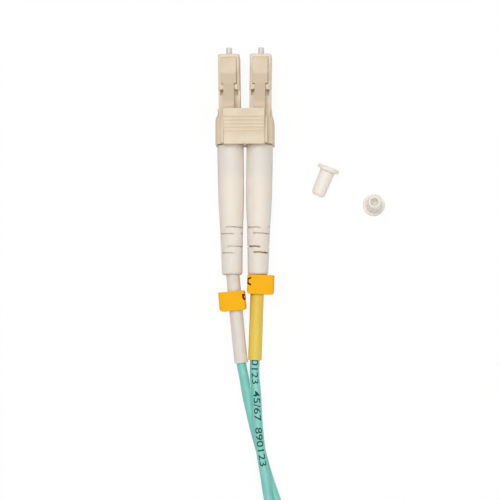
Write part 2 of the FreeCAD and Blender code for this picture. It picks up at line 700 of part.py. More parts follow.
def wound_path(place, direction, turns):
    """Biarcs of a quarter turn along a curve given by its place and direction at each turn."""
    edges = []
    steps = int(round(turns * 4))
    for i in range(steps):
        first, last = i / 4, (i + 1) / 4
        edges += biarc(place(first), direction(first), place(last), direction(last))
    return edges


def direction_of(place):
    """The direction along a curve, from two places a little apart."""
    def direction(turn):
        small = 1e-4
        return (place(turn + small) - place(turn - small)).normalize()
    return direction


def swept(path, profile):
    shell = Part.BRepOffsetAPI.MakePipeShell(path)
    shell.add(profile)
    if not shell.isReady():
        raise RuntimeError("the pipe shell is not ready")
    shell.build()
    shell.makeSolid()
    return shell.shape()


def flat_tube(path, radius):
    """Solid bar along a path, with a few flats for its round section."""
    start = path.Edges[0].valueAt(path.Edges[0].FirstParameter)
    way = path.Edges[0].tangentAt(path.Edges[0].FirstParameter)
    side = way.cross(Vector(0, 0, 1)).normalize()
    up = side.cross(way)
    corners = [start + side * x + up * z for x, z in flats(CORD_SIDES, radius)]
    return swept(path, Part.makePolygon(corners + corners[:1]))


def flat_section(radius):
    """The area of such a bar's section."""
    return CORD_SIDES / 2 * radius ** 2 * math.sin(2 * math.pi / CORD_SIDES)


def shape_part(name, shape):
    feature = doc.addObject("Part::Feature", name)
    feature.Shape = shape
    return named(feature, name)


def placed(shape, placement):
    """A copy of a shape moved to its place, with the move in its own geometry."""
    moved = shape.copy()
    moved.transformShape(placement.toMatrix())
    return moved


def make_ferrule_spring(name, placement, wound):
    """Coil spring between the flange and the rear body, or the plain sleeve it fills."""
    wire = float(Sizes.spring_wire)
    front = float(flange_rear) - 0.05
    rear = float(spigot_front) + 0.05
    mean = float(Sizes.spring_radius)
    if wound:
        turns = float(Sizes.spring_turns)
        advance = (front - rear - wire) / turns

        def place(turn):
            angle = 2 * math.pi * turn
            return Vector(mean * math.cos(angle), rear + wire / 2 + advance * turn,
                          mean * math.sin(angle))

        edges = wound_path(place, direction_of(place), turns)
        path = Part.Wire(edges)
        way = edges[0].tangentAt(edges[0].FirstParameter)
        out = Vector(1, 0, 0)
        up = way.cross(out)
        corners = [place(0) + out * (a * wire / 2) + up * (b * wire / 2)
                   for a, b in ((-1, -1), (1, -1), (1, 1), (-1, 1), (-1, -1))]
        solid = swept(path, Part.makePolygon(corners))
    else:
        run = Part.Wire(Part.LineSegment(Vector(0, rear, 0), Vector(0, front, 0)).toShape())
        solid = flat_tube(run, mean + wire / 2).cut(flat_tube(run, mean - wire / 2))
    return shape_part(name, placed(solid, placement))


# Routes. Each list was chosen by hand to follow the cord as it lies.

LEG_BENDS = {
    "left": [Vector(-2.707, -28.2, 3.0), Vector(-2.593, -30.4, 2.95)],
    "right": [Vector(2.718, -27.4, 3.0), Vector(2.657, -29.8, 2.943)],
}
LEG_SLEEVE_END = {
    "left": Vector(-0.93, -49.0, 2.1),
    "right": Vector(1.98, -48.4, 2.1),
}
LEG_SPLIT = {
    "left": Vector(-0.28, -54.2, 2.05),
    "right": Vector(1.78, -54.2, 2.05),
}
NEAR_SPLIT = Vector(0.75, -54.2, 2.05)
NEAR_ROUTE = [
    NEAR_SPLIT, Vector(1.35, -58.0, 2.0), Vector(2.3, -63.5, 2.02), Vector(3.95, -70.5, 2.05),
    Vector(5.8, -78.2, 2.0), Vector(8.2, -86.8, 1.98), Vector(10.2, -95.4, 2.05),
]
COIL_CENTRE = Vector(36.4, -105.4, 0)
FAR_SHIFT = Vector(61.25, -18.0, 0)
FAR_ROUTE = [
    Vector(61.95, -96.0, 6.6), Vector(61.9, -89.0, 5.0), Vector(61.95, -82.5, 2.75),
    Vector(62.0, -77.0, 2.15),
]


def coil_place(turn):
    """Middle of the cord in the coil: spirals in below, climbs, and spirals out on top."""
    half = float(Sizes.coil_turns) / 2
    from_middle = abs(turn - half)
    step = float(Sizes.coil_turn_step)
    radius = float(Sizes.coil_radius) - step * (half - from_middle)
    dip_reach = 0.65
    if from_middle < dip_reach:
        radius -= float(Sizes.coil_dip) * (1 + math.cos(math.pi * from_middle / dip_reach)) / 2
    climb = min(1, max(0, (turn - half + 0.25) / 0.5))
    low = float(Sizes.cord_width) / 2
    height = low + float(Sizes.coil_layer_step) * (1 - math.cos(math.pi * climb)) / 2
    angle = math.pi + 2 * math.pi * turn
    return COIL_CENTRE + Vector(radius * math.cos(angle), radius * math.sin(angle), height)


def cord_section(centre, way, up):
    """The twin cord's outline, with the two cables' outer sides as flats."""
    side = way.cross(up).normalize()
    tall = float(Sizes.cord_width) / 2
    wide = float(Sizes.cord_thickness) / 2
    shoulder = tall - wide
    half = [(0, tall), (wide, shoulder), (wide, -shoulder)]
    other_half = [(-a, -b) for a, b in half]
    return [centre + side * a + up * b for a, b in half + other_half]


def straight_end(path_edges, at_start, length):
    """A straight run added to one end of a wound path."""
    edge = path_edges[0] if at_start else path_edges[-1]
    parameter = edge.FirstParameter if at_start else edge.LastParameter
    place, way = edge.valueAt(parameter), edge.tangentAt(parameter)
    if at_start:
        return Part.LineSegment(place - way * length, place).toShape()
    return Part.LineSegment(place, place + way * length).toShape()


def make_coil(name):
    direction = direction_of(coil_place)
    edges = wound_path(coil_place, direction, float(Sizes.coil_turns))
    lead = float(Sizes.cord_thickness)
    edges.insert(0, straight_end(edges, True, lead))
    edges.append(straight_end(edges, False, lead))
    path = Part.Wire(edges)
    start, way = edges[0].valueAt(edges[0].FirstParameter), direction(0)
    corners = cord_section(start, way, Vector(0, 0, 1))
    solid = swept(path, Part.makePolygon(corners + corners[:1]))
    print(f"{name}: length {path.Length:.1f} mm, least gap to itself {coil_gap():.2f} mm")
    ends = [edges[0].valueAt(edges[0].FirstParameter), edges[-1].valueAt(edges[-1].LastParameter)]
    return shape_part(name, solid), ends


def coil_gap():
    """Least distance between outlines of different turns, on points along the coil."""
    samples = 60
    total = int(float(Sizes.coil_turns) * samples)
    direction = direction_of(coil_place)
    rings = []
    for i in range(total + 1):
        turn = i / samples
        centre = coil_place(turn)
        corners = cord_section(centre, direction(turn), Vector(0, 0, 1))
        middles = [(a + b) / 2 for a, b in zip(corners, corners[1:] + corners[:1])]
        rings.append((centre, corners + middles))
    least = 99.0
    for i, (centre, points) in enumerate(rings):
        for other, other_points in rings[i + samples // 2:]:
            if centre.distanceToPoint(other) > 6:
                continue
            for a in points:
                for b in other_points:
                    least = min(least, a.distanceToPoint(b))
    return least


def make_free_stretch(name, route):
    """Plain tube along a stretch of cord that is not coiled."""
    path, radii = rounded_path(route)
    radius = math.sqrt(2) * float(Sizes.leg_radius)
    solid = flat_tube(path, radius)
    expected = flat_section(radius) * path.Length
    print(f"{name}: length {path.Length:.1f} mm, arcs {[round(r) for r in radii]} mm, "
          f"volume {solid.Volume / expected:.3f} of section times length")
    return shape_part(name, solid)


def make_leg_and_sleeve(prefix, side, plug_place, shift):
    """The single cable from the crimp neck to the split, and the loose sleeve over it."""
    start = plug_place.multVec(Vector(0, float(neck_rear), 0))
    route = [start] + [p + shift for p in LEG_BENDS[side]]
    route += [LEG_SLEEVE_END[side] + shift, LEG_SPLIT[side] + shift]
    path, radii = rounded_path(route)
    name = f"{prefix}cable_leg_{side}"
    solid = flat_tube(path, float(Sizes.leg_radius))
    expected = flat_section(float(Sizes.leg_radius)) * path.Length
    print(f"{name}: length {path.Length:.1f} mm, arcs {[round(r) for r in radii]} mm, "
          f"volume {solid.Volume / expected:.3f} of section times length")
    leg = shape_part(name, solid)
    sleeve_start = plug_place.multVec(Vector(0, float(sleeve_front), 0))
    sleeve_route = [sleeve_start] + route[1:4]
    sleeve_path, _ = rounded_path(sleeve_route)
    sleeve = flat_tube(sleeve_path, float(Sizes.sleeve_radius)).cut(
        flat_tube(sleeve_path, float(Sizes.sleeve_bore)))
    return leg, shape_part(f"{prefix}sleeve_{side}", sleeve)


# Assembly

MARKER_PLACE = {"left": 5.6, "right": 3.4}
STANDING_CAP = Vector(26.8, -16.1, 0)
LYING_CAP = Vector(17.5, -8.3, 0)
LYING_CAP_HEADING = math.radians(247.0)


def plug_placement(side, shift):
    sign = -1 if side == "left" else 1
    base = Vector(sign * float(Sizes.pitch) / 2, 0, float(Sizes.axis_height))
    return Placement(base + shift, Rotation(Vector(0, 0, 1), -sign * float(Sizes.splay)))


def marker_placement(side, shift):
    """On the sleeve's straight run, this far behind the boot's end."""
    rear, front = LEG_SLEEVE_END[side], LEG_BENDS[side][1]
    way = (front - rear).normalize()
    centre = front - way * MARKER_PLACE[side]
    return Placement(centre + shift, Rotation(Vector(0, 1, 0), way))


def build_end(prefix, shift, wound_springs):
    for side, outward in (("left", -1), ("right", 1)):
        place = plug_placement(side, shift)
        label = f"{prefix}{{}}_{side}"
        pieces = [
            make_ferrule(label.format("ferrule")),
            make_ferrule_holder(label.format("ferrule_holder")),
            make_plug_housing(label.format("plug_housing")),
            make_latch(label.format("latch")),
            make_rear_body(label.format("rear_body")),
            make_buffered_fibre(label.format("buffered_fibre")),
            make_crimp_ring(label.format("crimp_ring")),
            make_boot(label.format("boot"), -outward),
        ]
        for piece in pieces:
            piece.Placement = place
        make_ferrule_spring(label.format("ferrule_spring"), place, wound_springs)
        marker = make_marker(label.format("marker"), outward)
        marker.Placement = marker_placement(side, shift)
        make_leg_and_sleeve(prefix, side, place, shift)
    for piece in (make_clip_body(f"{prefix}clip_body"), make_clip_trigger(f"{prefix}clip_trigger")):
        piece.Placement = Placement(shift, Rotation())


build_end("", Vector(0, 0, 0), True)
build_end("far_", FAR_SHIFT, False)

coil, (coil_start, coil_end) = make_coil("zipcord_coil")
make_free_stretch("zipcord_near", NEAR_ROUTE + [coil_start])
make_free_stretch("zipcord_far", [coil_end] + FAR_ROUTE + [NEAR_SPLIT + FAR_SHIFT])

standing_cap = make_dust_cap("dust_cap_standing")
standing_cap.Placement = Placement(STANDING_CAP, Rotation())

# The lying cap touches the table with the front rim of its flange and the rim of its mouth
flange_rim, mouth_rim = Sizes.cap_flange.value, (Sizes.cap_length - Sizes.cap_lead_in).value
drop = math.atan2((Sizes.cap_flange_radius - Sizes.cap_radius).value, mouth_rim - flange_rim)
lift = flange_rim * math.sin(drop) + Sizes.cap_flange_radius.value * math.cos(drop)
mouth_way = Vector(math.cos(drop) * math.cos(LYING_CAP_HEADING),
                   math.cos(drop) * math.sin(LYING_CAP_HEADING), -math.sin(drop))
lying_cap = make_dust_cap("dust_cap_lying")
lying_cap.Placement = Placement(LYING_CAP + Vector(0, 0, lift),
                                Rotation(Vector(0, 0, 1), mouth_way))
doc.recompute()

# Checks and export

for thing in doc.Objects:
    if "Invalid" in thing.State or "Error" in thing.State:
        raise RuntimeError(f"{thing.Label} did not build: {thing.State}")
for piece in parts:
    shape = piece.Shape
    if shape.isNull() or not shape.isValid() or not shape.Solids:
        raise RuntimeError(f"{piece.Label} has no valid solid")

os.makedirs("parts", exist_ok=True)
for piece in parts:
    piece.Shape.exportStep(f"parts/{piece.Label}.step")
print(f"{len(parts)} pieces written")
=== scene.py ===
import bisect
import itertools
import math

import bmesh
import bpy
from mathutils import Matrix, Vector


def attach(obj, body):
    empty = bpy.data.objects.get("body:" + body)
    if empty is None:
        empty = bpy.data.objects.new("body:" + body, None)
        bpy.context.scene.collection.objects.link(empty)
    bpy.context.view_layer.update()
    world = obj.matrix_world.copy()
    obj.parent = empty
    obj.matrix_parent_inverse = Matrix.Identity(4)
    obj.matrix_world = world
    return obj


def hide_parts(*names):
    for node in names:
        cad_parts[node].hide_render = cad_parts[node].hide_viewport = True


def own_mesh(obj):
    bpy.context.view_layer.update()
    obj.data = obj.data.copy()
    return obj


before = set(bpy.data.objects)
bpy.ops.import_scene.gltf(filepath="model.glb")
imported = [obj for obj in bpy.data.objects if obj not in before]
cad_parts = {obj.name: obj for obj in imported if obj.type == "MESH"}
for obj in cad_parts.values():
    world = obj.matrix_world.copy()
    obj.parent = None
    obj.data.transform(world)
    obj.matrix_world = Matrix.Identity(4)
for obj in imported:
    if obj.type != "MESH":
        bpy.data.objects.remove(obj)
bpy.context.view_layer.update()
scene = bpy.context.scene

# The camera stands high above the cord, a little south and east of the plugs, and looks down
# at them. Its width of view at the table is the photograph's.
MM = 0.001
VIEW_CENTRE = Vector((1.02, -25.62, 3.0)) * MM
VIEW_WIDTH = 103.77 * MM
CAMERA_PLACE = Vector((18.5, -60.0, 383.0)) * MM
SENSOR_WIDTH = 36.0
NEAREST, FARTHEST = 0.01, 10.0


def linked(data, name):
    """An object at the origin that holds the mesh, curve, lamp or lens."""
    thing = bpy.data.objects.new(name, data)
    scene.collection.objects.link(thing)
    return thing


lens = bpy.data.cameras.new("camera")
camera = linked(lens, "camera")
sight = VIEW_CENTRE - CAMERA_PLACE
lens.sensor_width = SENSOR_WIDTH
lens.lens = SENSOR_WIDTH * sight.length / VIEW_WIDTH
lens.clip_start, lens.clip_end = NEAREST, FARTHEST
forward = sight.normalized()
rightward = forward.cross(Vector((0, 1, 0))).normalized()
camera_turn = Matrix((rightward, rightward.cross(forward), -forward)).transposed()
camera.matrix_world = Matrix.Translation(CAMERA_PLACE) @ camera_turn.to_4x4()
scene.camera = camera
scene.view_settings.view_transform = "Standard"


# Plain white table, a soft white room and two large soft lamps. The table glows for the
# camera, so that it is seen white, and still keeps a faint shadow of the cord.
TABLE_WIDTH = 3.0
TABLE_GLOW = 1.012
GLOW_SHARE = 0.9
ROOM_LIGHT = 0.36
LAMPS = [
    ("key_lamp", Vector((-0.15, 0.20, 0.85)), 0.50, 3.75),
    ("fill_lamp", Vector((0.28, -0.18, 0.80)), 0.60, 1.95),
]


def paint(red, green, blue):
    """A colour as the eye reads it, from 0 to 255, for a shader."""
    parts = [channel / 255 for channel in (red, green, blue)]
    linear = [p / 12.92 if p < 0.04045 else ((p + 0.055) / 1.055) ** 2.4 for p in parts]
    return (*linear, 1.0)


class Wire:
    """The output of a node, which plain sums can be written with."""

    def __init__(self, finish, socket):
        self.finish = finish
        self.socket = socket

    def apply(self, operation, other=0.0):
        return self.finish.node("Math", {0: self, 1: other}, operation=operation)

    def __add__(self, other):
        return self.apply("ADD", other)

    def __sub__(self, other):
        return self.apply("SUBTRACT", other)

    def __mul__(self, other):
        return self.apply("MULTIPLY", other)

    def __truediv__(self, other):
        return self.apply("DIVIDE", other)

    def clear_of(self, low, high):
        """0 below one value, 1 above another, and smooth in between."""
        ends = {"Value": self, "From Min": low, "From Max": high}
        return self.finish.node("MapRange", ends, interpolation_type="SMOOTHSTEP")


class Finish:
    """One material: a surface, and the nodes that feed it from places on the object."""

    def __init__(self, name):
        self.material = bpy.data.materials.new(name)
        self.material.use_nodes = True
        self.tree = self.material.node_tree
        self.tree.nodes.clear()

    def node(self, kind, sockets=(), output=0, **settings):
        """Adds a node of that kind, and gives its output for the next one."""
        made = self.tree.nodes.new(kind if "Node" in kind else f"ShaderNode{kind}")
        for name, value in settings.items():
            setattr(made, name, value)
        for name, value in dict(sockets).items():
            if isinstance(value, Wire):
                self.tree.links.new(value.socket, made.inputs[name])
            else:
                made.inputs[name].default_value = value
        return Wire(self, made.outputs[output]) if made.outputs else None

    def noise(self, per_mm, detail=3.0, roughness=0.5):
        """Grain with this many specks per millimetre, the same or one count for each axis."""
        counts = per_mm if isinstance(per_mm, tuple) else (per_mm,) * 3
        where = {"Vector": self.node("TexCoord", output="Object"),
                 "Scale": [count / MM for count in counts]}
        return self.node("TexNoise", {
            "Vector": self.node("Mapping", where, vector_type="POINT"), "Scale": 1.0,
            "Detail": detail, "Roughness": roughness,
        })

    def mix(self, share, first, second):
        return self.node("Mix", {"Factor": share, 6: first, 7: second}, 2, data_type="RGBA")

    def surface(self, paints, share, roughness, grain=None, relief=0, strength=0.4, **constants):
        """A mix of two paints. Sheen and relief, in millimetres, follow the grain or the mix."""
        low, span = roughness
        grain = grain or share
        sockets = {"Base Color": self.mix(share, *paints), "Roughness": grain * span + low}
        if relief:
            depths = {"Height": grain, "Distance": relief * MM, "Strength": strength}
            sockets["Normal"] = self.node("Bump", depths)
        skin = self.node("BsdfPrincipled", {**sockets, **constants})
        self.node("OutputMaterial", {"Surface": skin})


def mesh_of(skin, name):
    """The built faces as a mesh."""
    mesh = bpy.data.meshes.new(name)
    skin.to_mesh(mesh)
    skin.free()
    return mesh


table = Finish("white_table")
cloth = table.node("BsdfDiffuse", {"Color": paint(240, 240, 240)})
glow = table.node("Emission", {"Color": paint(255, 255, 255), "Strength": TABLE_GLOW})
straight, mirrored, through = [
    table.node("LightPath", output=f"Is {kind} Ray")
    for kind in ("Camera", "Glossy", "Transmission")
]
seen = (straight + mirrored + through) * GLOW_SHARE
shown = table.node("MixShader", {0: seen, 1: cloth, 2: glow})
table.node("OutputMaterial", {"Surface": shown})
sheet = bmesh.new()
bmesh.ops.create_grid(sheet, x_segments=1, y_segments=1, size=TABLE_WIDTH / 2)
floor = linked(mesh_of(sheet, "table"), "table")
floor.data.materials.append(table.material)

room = bpy.data.worlds.new("room")
scene.world = room
room.use_nodes = True
backdrop = room.node_tree.nodes["Background"].inputs
backdrop["Color"].default_value = (1, 1, 1, 1)
backdrop["Strength"].default_value = ROOM_LIGHT

for name, place, size, watts in LAMPS:
    lamp = bpy.data.lights.new(name, "AREA")
    lamp.shape = "SQUARE"
    lamp.size = size
    lamp.energy = watts
    holder = linked(lamp, name)
    holder.location = place
    holder.rotation_euler = (-place).to_track_quat("-Z", "Y").to_euler()


# Each plug's single 2 mm cable: aqua PVC over yarn and a buffered fibre. It leaves the crimp
# neck, runs through the boot and the loose sleeve, and meets its twin at the split.
SHIFTS = {"": Vector((0, 0, 0)), "far_": Vector((61.25, -18.0, 0))}
SIDES = {"left": -1, "right": 1}
CABLE_RADIUS = 1.0
SPLIT_TWIST = math.radians(8)
LOBE_OFFSET = 1.05
NEAR_SPLIT = Vector((1.14, -54.2, 2.07))
SPLIT_WAY = Vector((0.13, -1.0, 0.0))
SPLIT_RISE = 0.1
SPLIT_LEAD = 2.3
SPLIT_OVERLAP = 0.08
LEG_ROUTES = {
    "left": [(-3.016, -7.349, 3.0), (-2.707, -28.2, 3.0), (-2.593, -30.4, 2.95),
             (-0.93, -49.0, 2.1)],
    "right": [(3.016, -7.349, 3.0), (2.718, -27.4, 3.0), (2.657, -29.8, 2.943),
              (1.98, -48.4, 2.1)],
}


def centreline(points, fineness):
    """Points in metres along the smooth spline that a route's points steer."""
    data = bpy.data.curves.new("route", "CURVE")
    data.dimensions = "3D"
    data.resolution_u = fineness
    spline = data.splines.new("NURBS")
    spline.points.add(len(points) - 1)
    for steering, place in zip(spline.points, points):
        steering.co = (*(Vector(place) * MM), 1.0)
    spline.order_u = 3
    spline.use_endpoint_u = True
    carrier = linked(data, "route")
    mesh = bpy.data.meshes.new_from_object(carrier)
    line = [vertex.co.copy() for vertex in mesh.vertices]
    bpy.data.objects.remove(carrier)
    bpy.data.meshes.remove(mesh)
    return line


def lengths_along(line):
    """The distance from the start to each point."""
    return [0.0, *itertools.accumulate((b - a).length for a, b in zip(line, line[1:]))]


def ways_along(line):
    """The direction at each point."""
    ends = zip([line[0], *line[:-1]], [*line[1:], line[-1]])
    return [(b - a).normalized() for a, b in ends]


def beside_and_above(way):
    """The level direction across a way, and the one upright on both."""
    level = Vector((0, 0, 1)).cross(way).normalized()
    return level, way.cross(level)


def joined_up(skin, rings):
    """Smooth faces from each ring of corners to the next."""
    for first, second in zip(rings, rings[1:]):
        for i in range(len(first)):
            skin.faces.new((first[i - 1], first[i], second[i], second[i - 1])).smooth = True


def rings_along(skin, line, section, twists):
    """The section at each point of the line, level at a twist of zero, joined up to a skin."""
    rings = []
    for place, way, twist in zip(line, ways_along(line), twists):
        level, upright = beside_and_above(way)
        across = level * math.cos(twist) + upright * math.sin(twist)
        above = way.cross(across)
        rings.append([skin.verts.new(place + across * x + above * z) for x, z in section])
    joined_up(skin, rings)
    for rim in (rings[0], rings[-1]):
        for i, corner in enumerate(rim):
            skin.edges.get((rim[i - 1], corner)).smooth = False
    return rings


def swept(line, section, twists):
    """A closed tube along the line."""
    skin = bmesh.new()
    rings = rings_along(skin, line, section, twists)
    skin.faces.new(rings[0][::-1])
    skin.faces.new(rings[-1])
    return skin


def turns_of(sides):
    """Angles at equal steps round a circle."""
    return [2 * math.pi * i / sides for i in range(sides)]


def circle(radius, sides):
    """A round section in metres, from a radius in millimetres."""
    return [(radius * math.cos(a) * MM, radius * math.sin(a) * MM) for a in turns_of(sides)]


def kept(skin, name, material):
    """The built faces as a finished piece."""
    bmesh.ops.recalc_face_normals(skin, faces=skin.faces)
    mesh = mesh_of(skin, name)
    mesh.materials.append(material)
    return linked(mesh, name)


def stand_in(piece, body, slot, *nodes):
    """The piece rides on a body in place of solids."""
    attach(piece, body)
    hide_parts(*nodes)


jacket = Finish("aqua_jacket")
cloudy = jacket.noise(0.35, 4.0, 0.6).clear_of(0.3, 0.7)
jacket.surface([paint(122, 201, 189), paint(137, 209, 198)], cloudy, (0.34, 0.12),
               jacket.noise(9.0, 2.0), 0.02, strength=0.5, IOR=1.5)

legs = {}
level, upright = beside_and_above(SPLIT_WAY.normalized())
to_lobe = level * math.cos(SPLIT_TWIST) + upright * math.sin(SPLIT_TWIST)
for end, shift in SHIFTS.items():
    for side_name, sign in SIDES.items():
        meeting = NEAR_SPLIT + to_lobe * (LOBE_OFFSET * sign)
        lead = meeting - (SPLIT_WAY + Vector((0, 0, SPLIT_RISE * sign))) * SPLIT_LEAD
        route = [Vector(point) + shift for point in [*LEG_ROUTES[side_name], lead, meeting]]
        line = centreline(route, fineness=10)
        line.append(line[-1] + SPLIT_WAY * (SPLIT_OVERLAP * MM))
        legs[end + side_name] = line
        skin = swept(line, circle(CABLE_RADIUS, sides=32), [0.0] * len(line))
        leg = kept(skin, f"{end}{side_name}_cable", jacket.material)
        stand_in(leg, "root", "jacket_plastic", f"{end}cable_leg_{side_name}")

# The twin cord: the two cables moulded side by side with a thin web between them. It twists
# on its way to the coil, where it stands on edge, and turns back to level before the far plugs.
COIL_CENTRE = Vector((36.4, -105.4, 0))
COIL_RADIUS = 25.85
COIL_TURN_STEP = 2.47
COIL_LAYER_STEP = 4.6
COIL_TURNS = 5.5
COIL_CLIMB = 0.5
COIL_DIP = 0.8
COIL_DIP_REACH = 0.65
COIL_LEAD = 2.0
COIL_TWIST = math.radians(270)
FAR_TWIST = 2 * math.pi - SPLIT_TWIST
POINTS_PER_TURN = 24
CORD_WIDTH = 4.1
WEB_HALF = 0.2
NEAR_ROUTE = [
    NEAR_SPLIT, (1.64, -58.0, 2.07), (2.42, -63.5, 2.07), (3.95, -70.5, 2.07),
    (5.8, -78.2, 2.06), (8.2, -86.8, 2.06), (10.2, -95.4, 2.06),
]
FAR_ROUTE = [
    (61.95, -96.0, 6.6), (61.9, -89.0, 5.0), (61.95, -82.5, 2.75), (62.9, -77.0, 2.15),
    NEAR_SPLIT + SHIFTS["far_"],
]
NEAR_TWISTS = [(0.0, 8), (0.0015, 17), (0.003, 34), (0.005, 50), (0.0075, 62), (0.012, 84),
               (0.0187, 104), (0.0235, 134)]


def coil_place(turn):
    """Middle of the cord in the coil: it spirals in below, climbs, and spirals out on top."""
    from_middle = abs(turn - COIL_TURNS / 2)
    radius = COIL_RADIUS - COIL_TURN_STEP * (COIL_TURNS / 2 - from_middle)
    if from_middle < COIL_DIP_REACH:
        radius -= COIL_DIP * (1 + math.cos(math.pi * from_middle / COIL_DIP_REACH)) / 2
    climb = min(1, max(0, (turn - COIL_TURNS / 2) / COIL_CLIMB + 0.5))
    height = CORD_WIDTH / 2 + COIL_LAYER_STEP * (1 - math.cos(math.pi * climb)) / 2
    angle = math.pi + 2 * math.pi * turn
    return COIL_CENTRE + Vector((radius * math.cos(angle), radius * math.sin(angle), height))


def twin_section(steps):
    """Two circles side by side, joined by the web, as one outline in metres."""
    opening = math.asin(WEB_HALF / CABLE_RADIUS)
    sweep = 2 * math.pi - 2 * opening
    turns = [math.pi + opening + sweep * i / steps for i in range(steps + 1)]
    right = [(LOBE_OFFSET + CABLE_RADIUS * math.cos(a), CABLE_RADIUS * math.sin(a)) for a in turns]
    left = [(-x, -z) for x, z in right]
    return [(x * MM, z * MM) for x, z in right + left]


def cord_twist(distance):
    """How far the cord has turned by a distance along it."""
    for (start, from_turn), (finish, to_turn) in zip(near_twists, near_twists[1:]):
        if distance < finish:
            return from_turn + (to_turn - from_turn) * (distance - start) / (finish - start)
    share = max(0, (distance - far_start) / (gone[-1] - far_start))
    return COIL_TWIST + (FAR_TWIST - COIL_TWIST) * share


coil_steps = round(COIL_TURNS * POINTS_PER_TURN)
coil_points = [coil_place(step / POINTS_PER_TURN) for step in range(coil_steps + 1)]
cord_route = [
    *NEAR_ROUTE, coil_points[0] + Vector((0, COIL_LEAD, 0)), *coil_points,
    coil_points[-1] + Vector((0, COIL_LEAD, 0)), *FAR_ROUTE,
]
cord_line = centreline(cord_route, fineness=3)
gone = lengths_along(cord_line)
in_coil = [d for d, p in zip(gone, cord_line) if p.y < (COIL_CENTRE.y + COIL_LEAD) * MM]
coil_start, far_start = in_coil[0], in_coil[-1]
near_twists = [(reached, math.radians(turn)) for reached, turn in NEAR_TWISTS]
near_twists.append((coil_start, COIL_TWIST))
cord_twists = [cord_twist(distance) for distance in gone]
skin = swept(cord_line, twin_section(steps=21), cord_twists)
twin_cord = kept(skin, "twin_cord", jacket.material)
stand_in(twin_cord, "root", "jacket_plastic", "zipcord_coil", "zipcord_near", "zipcord_far")

# Ferrules: polished white zirconia pins, 1.25 mm across, with the end of the glass fibre in
# the middle of the tip. Each is pressed into its holder, and the spring behind pushes it out.
SPLAY = math.radians(0.85)
PITCH = 6.25
AXIS_HEIGHT = 3.0
FERRULE_RADIUS = 0.6245
FERRULE_TIP = 16.95
FERRULE_REAR = 10.45
FERRULE_CHAMFER = 0.15
FERRULE_HEEL = 0.08
CORE_RADIUS = 0.0625
CORE_DEPTH = 0.01
SHARP_ANGLE = math.radians(38)
BEVEL_ANGLE = math.radians(40)

PLUGS = {}
for end, shift in SHIFTS.items():
    for side_name, sign in SIDES.items():
        seat = Matrix.Translation((Vector((sign * PITCH / 2, 0, AXIS_HEIGHT)) + shift) * MM)
        PLUGS[end, side_name] = seat @ Matrix.Rotation(-sign * SPLAY, 4, "Z") @ Matrix.Scale(MM, 4)
on_far_cable = {side_name: [] for side_name in SIDES}


def turned(outline, sides):
    """A mesh in millimetres, spun about the Y axis from (radius, place) corners."""
    skin = bmesh.new()
    rings = {}
    for radius, place in outline:
        if (radius, place) not in rings:
            turns = turns_of(sides) if radius else [0.0]
            rings[radius, place] = [
                skin.verts.new((radius * math.cos(a), place, radius * math.sin(a))) for a in turns
            ]
    for corner, following in zip(outline, outline[1:]):
        first, second = rings[corner], rings[following]
        for i in range(sides):
            j = (i + 1) % sides
            corners = [first[i % len(first)], first[j % len(first)],
                       second[j % len(second)], second[i % len(second)]]
            skin.faces.new(list(dict.fromkeys(corners)))
    bmesh.ops.recalc_face_normals(skin, faces=skin.faces)
    return skin


def blank(skin):
    """A working object that holds the built faces, and is removed once it has been used."""
    return linked(mesh_of(skin, "blank"), "blank")


def worked(skin, cuts=(), joins=(), meets=(), easing=0.0, segments=2):
    """The mesh that is left after its overlaps, joins and cuts, with its edges eased."""
    thing = blank(skin)
    tools = []
    for operation, others in (("INTERSECT", meets), ("UNION", joins), ("DIFFERENCE", cuts)):
        for other in others:
            tool = blank(other)
            tools.append(tool)
            step = thing.modifiers.new(operation.lower(), "BOOLEAN")
            step.operation = operation
            step.object = tool
            step.solver = "EXACT"
    return eased_mesh(thing, tools, easing, segments)


def eased_mesh(thing, tools, easing, segments=2):
    """The working object's mesh, smooth shaded, with its sharp edges rounded off."""
    depsgraph = bpy.context.evaluated_depsgraph_get()
    rough = bpy.data.meshes.new_from_object(thing.evaluated_get(depsgraph))
    rough.shade_smooth()
    rough.set_sharp_from_angle(angle=SHARP_ANGLE)
    thing.modifiers.clear()
    thing.data = rough
    for tool in tools:
        bpy.data.objects.remove(tool)
    if easing:
        step = thing.modifiers.new("edges", "BEVEL")
        step.width = easing
        step.segments = segments
        step.angle_limit = BEVEL_ANGLE
    thing.modifiers.new("normals", "WEIGHTED_NORMAL").keep_sharp = True
    depsgraph = bpy.context.evaluated_depsgraph_get()
    mesh = bpy.data.meshes.new_from_object(thing.evaluated_get(depsgraph))
    bpy.data.objects.remove(thing)
    return mesh


def fitted(mesh, name, place, material):
    """A copy of a millimetre mesh at its place, as an object that stands at the origin."""
    copy = mesh.copy()
    copy.name = name
    copy.transform(place)
    copy.materials.clear()
    copy.materials.append(material)
    return linked(copy, name)


def placed(spot, way):
    """From a piece's own millimetres, along Y, to that spot and way in the scene."""
    lean = Vector((0, 1, 0)).rotation_difference(way).to_matrix().to_4x4()
    return Matrix.Translation(spot * MM) @ lean @ Matrix.Scale(MM, 4)


def carried(piece, end, side_name):
    """At the far end the piece is listed with its plug's cable."""
    if end:
        on_far_cable[side_name].append(piece)


def on_each_plug(mesh, kind, material, slot, moves=False):
    """One copy of the mesh for each of the four plugs, in place of the solid of that kind."""
    for (end, side_name), place in PLUGS.items():
        piece = fitted(mesh, f"{end}{side_name}_{kind}", place, material)
        node = f"{end}{kind}_{side_name}"
        stand_in(piece, node if moves else "root", slot, node)
        carried(piece, end, side_name)


zirconia = Finish("white_zirconia")
zirconia.surface([paint(204, 203, 203), paint(224, 222, 221)], zirconia.noise(1.2),
                 (0.22, 0.1), relief=0.004, IOR=1.6)

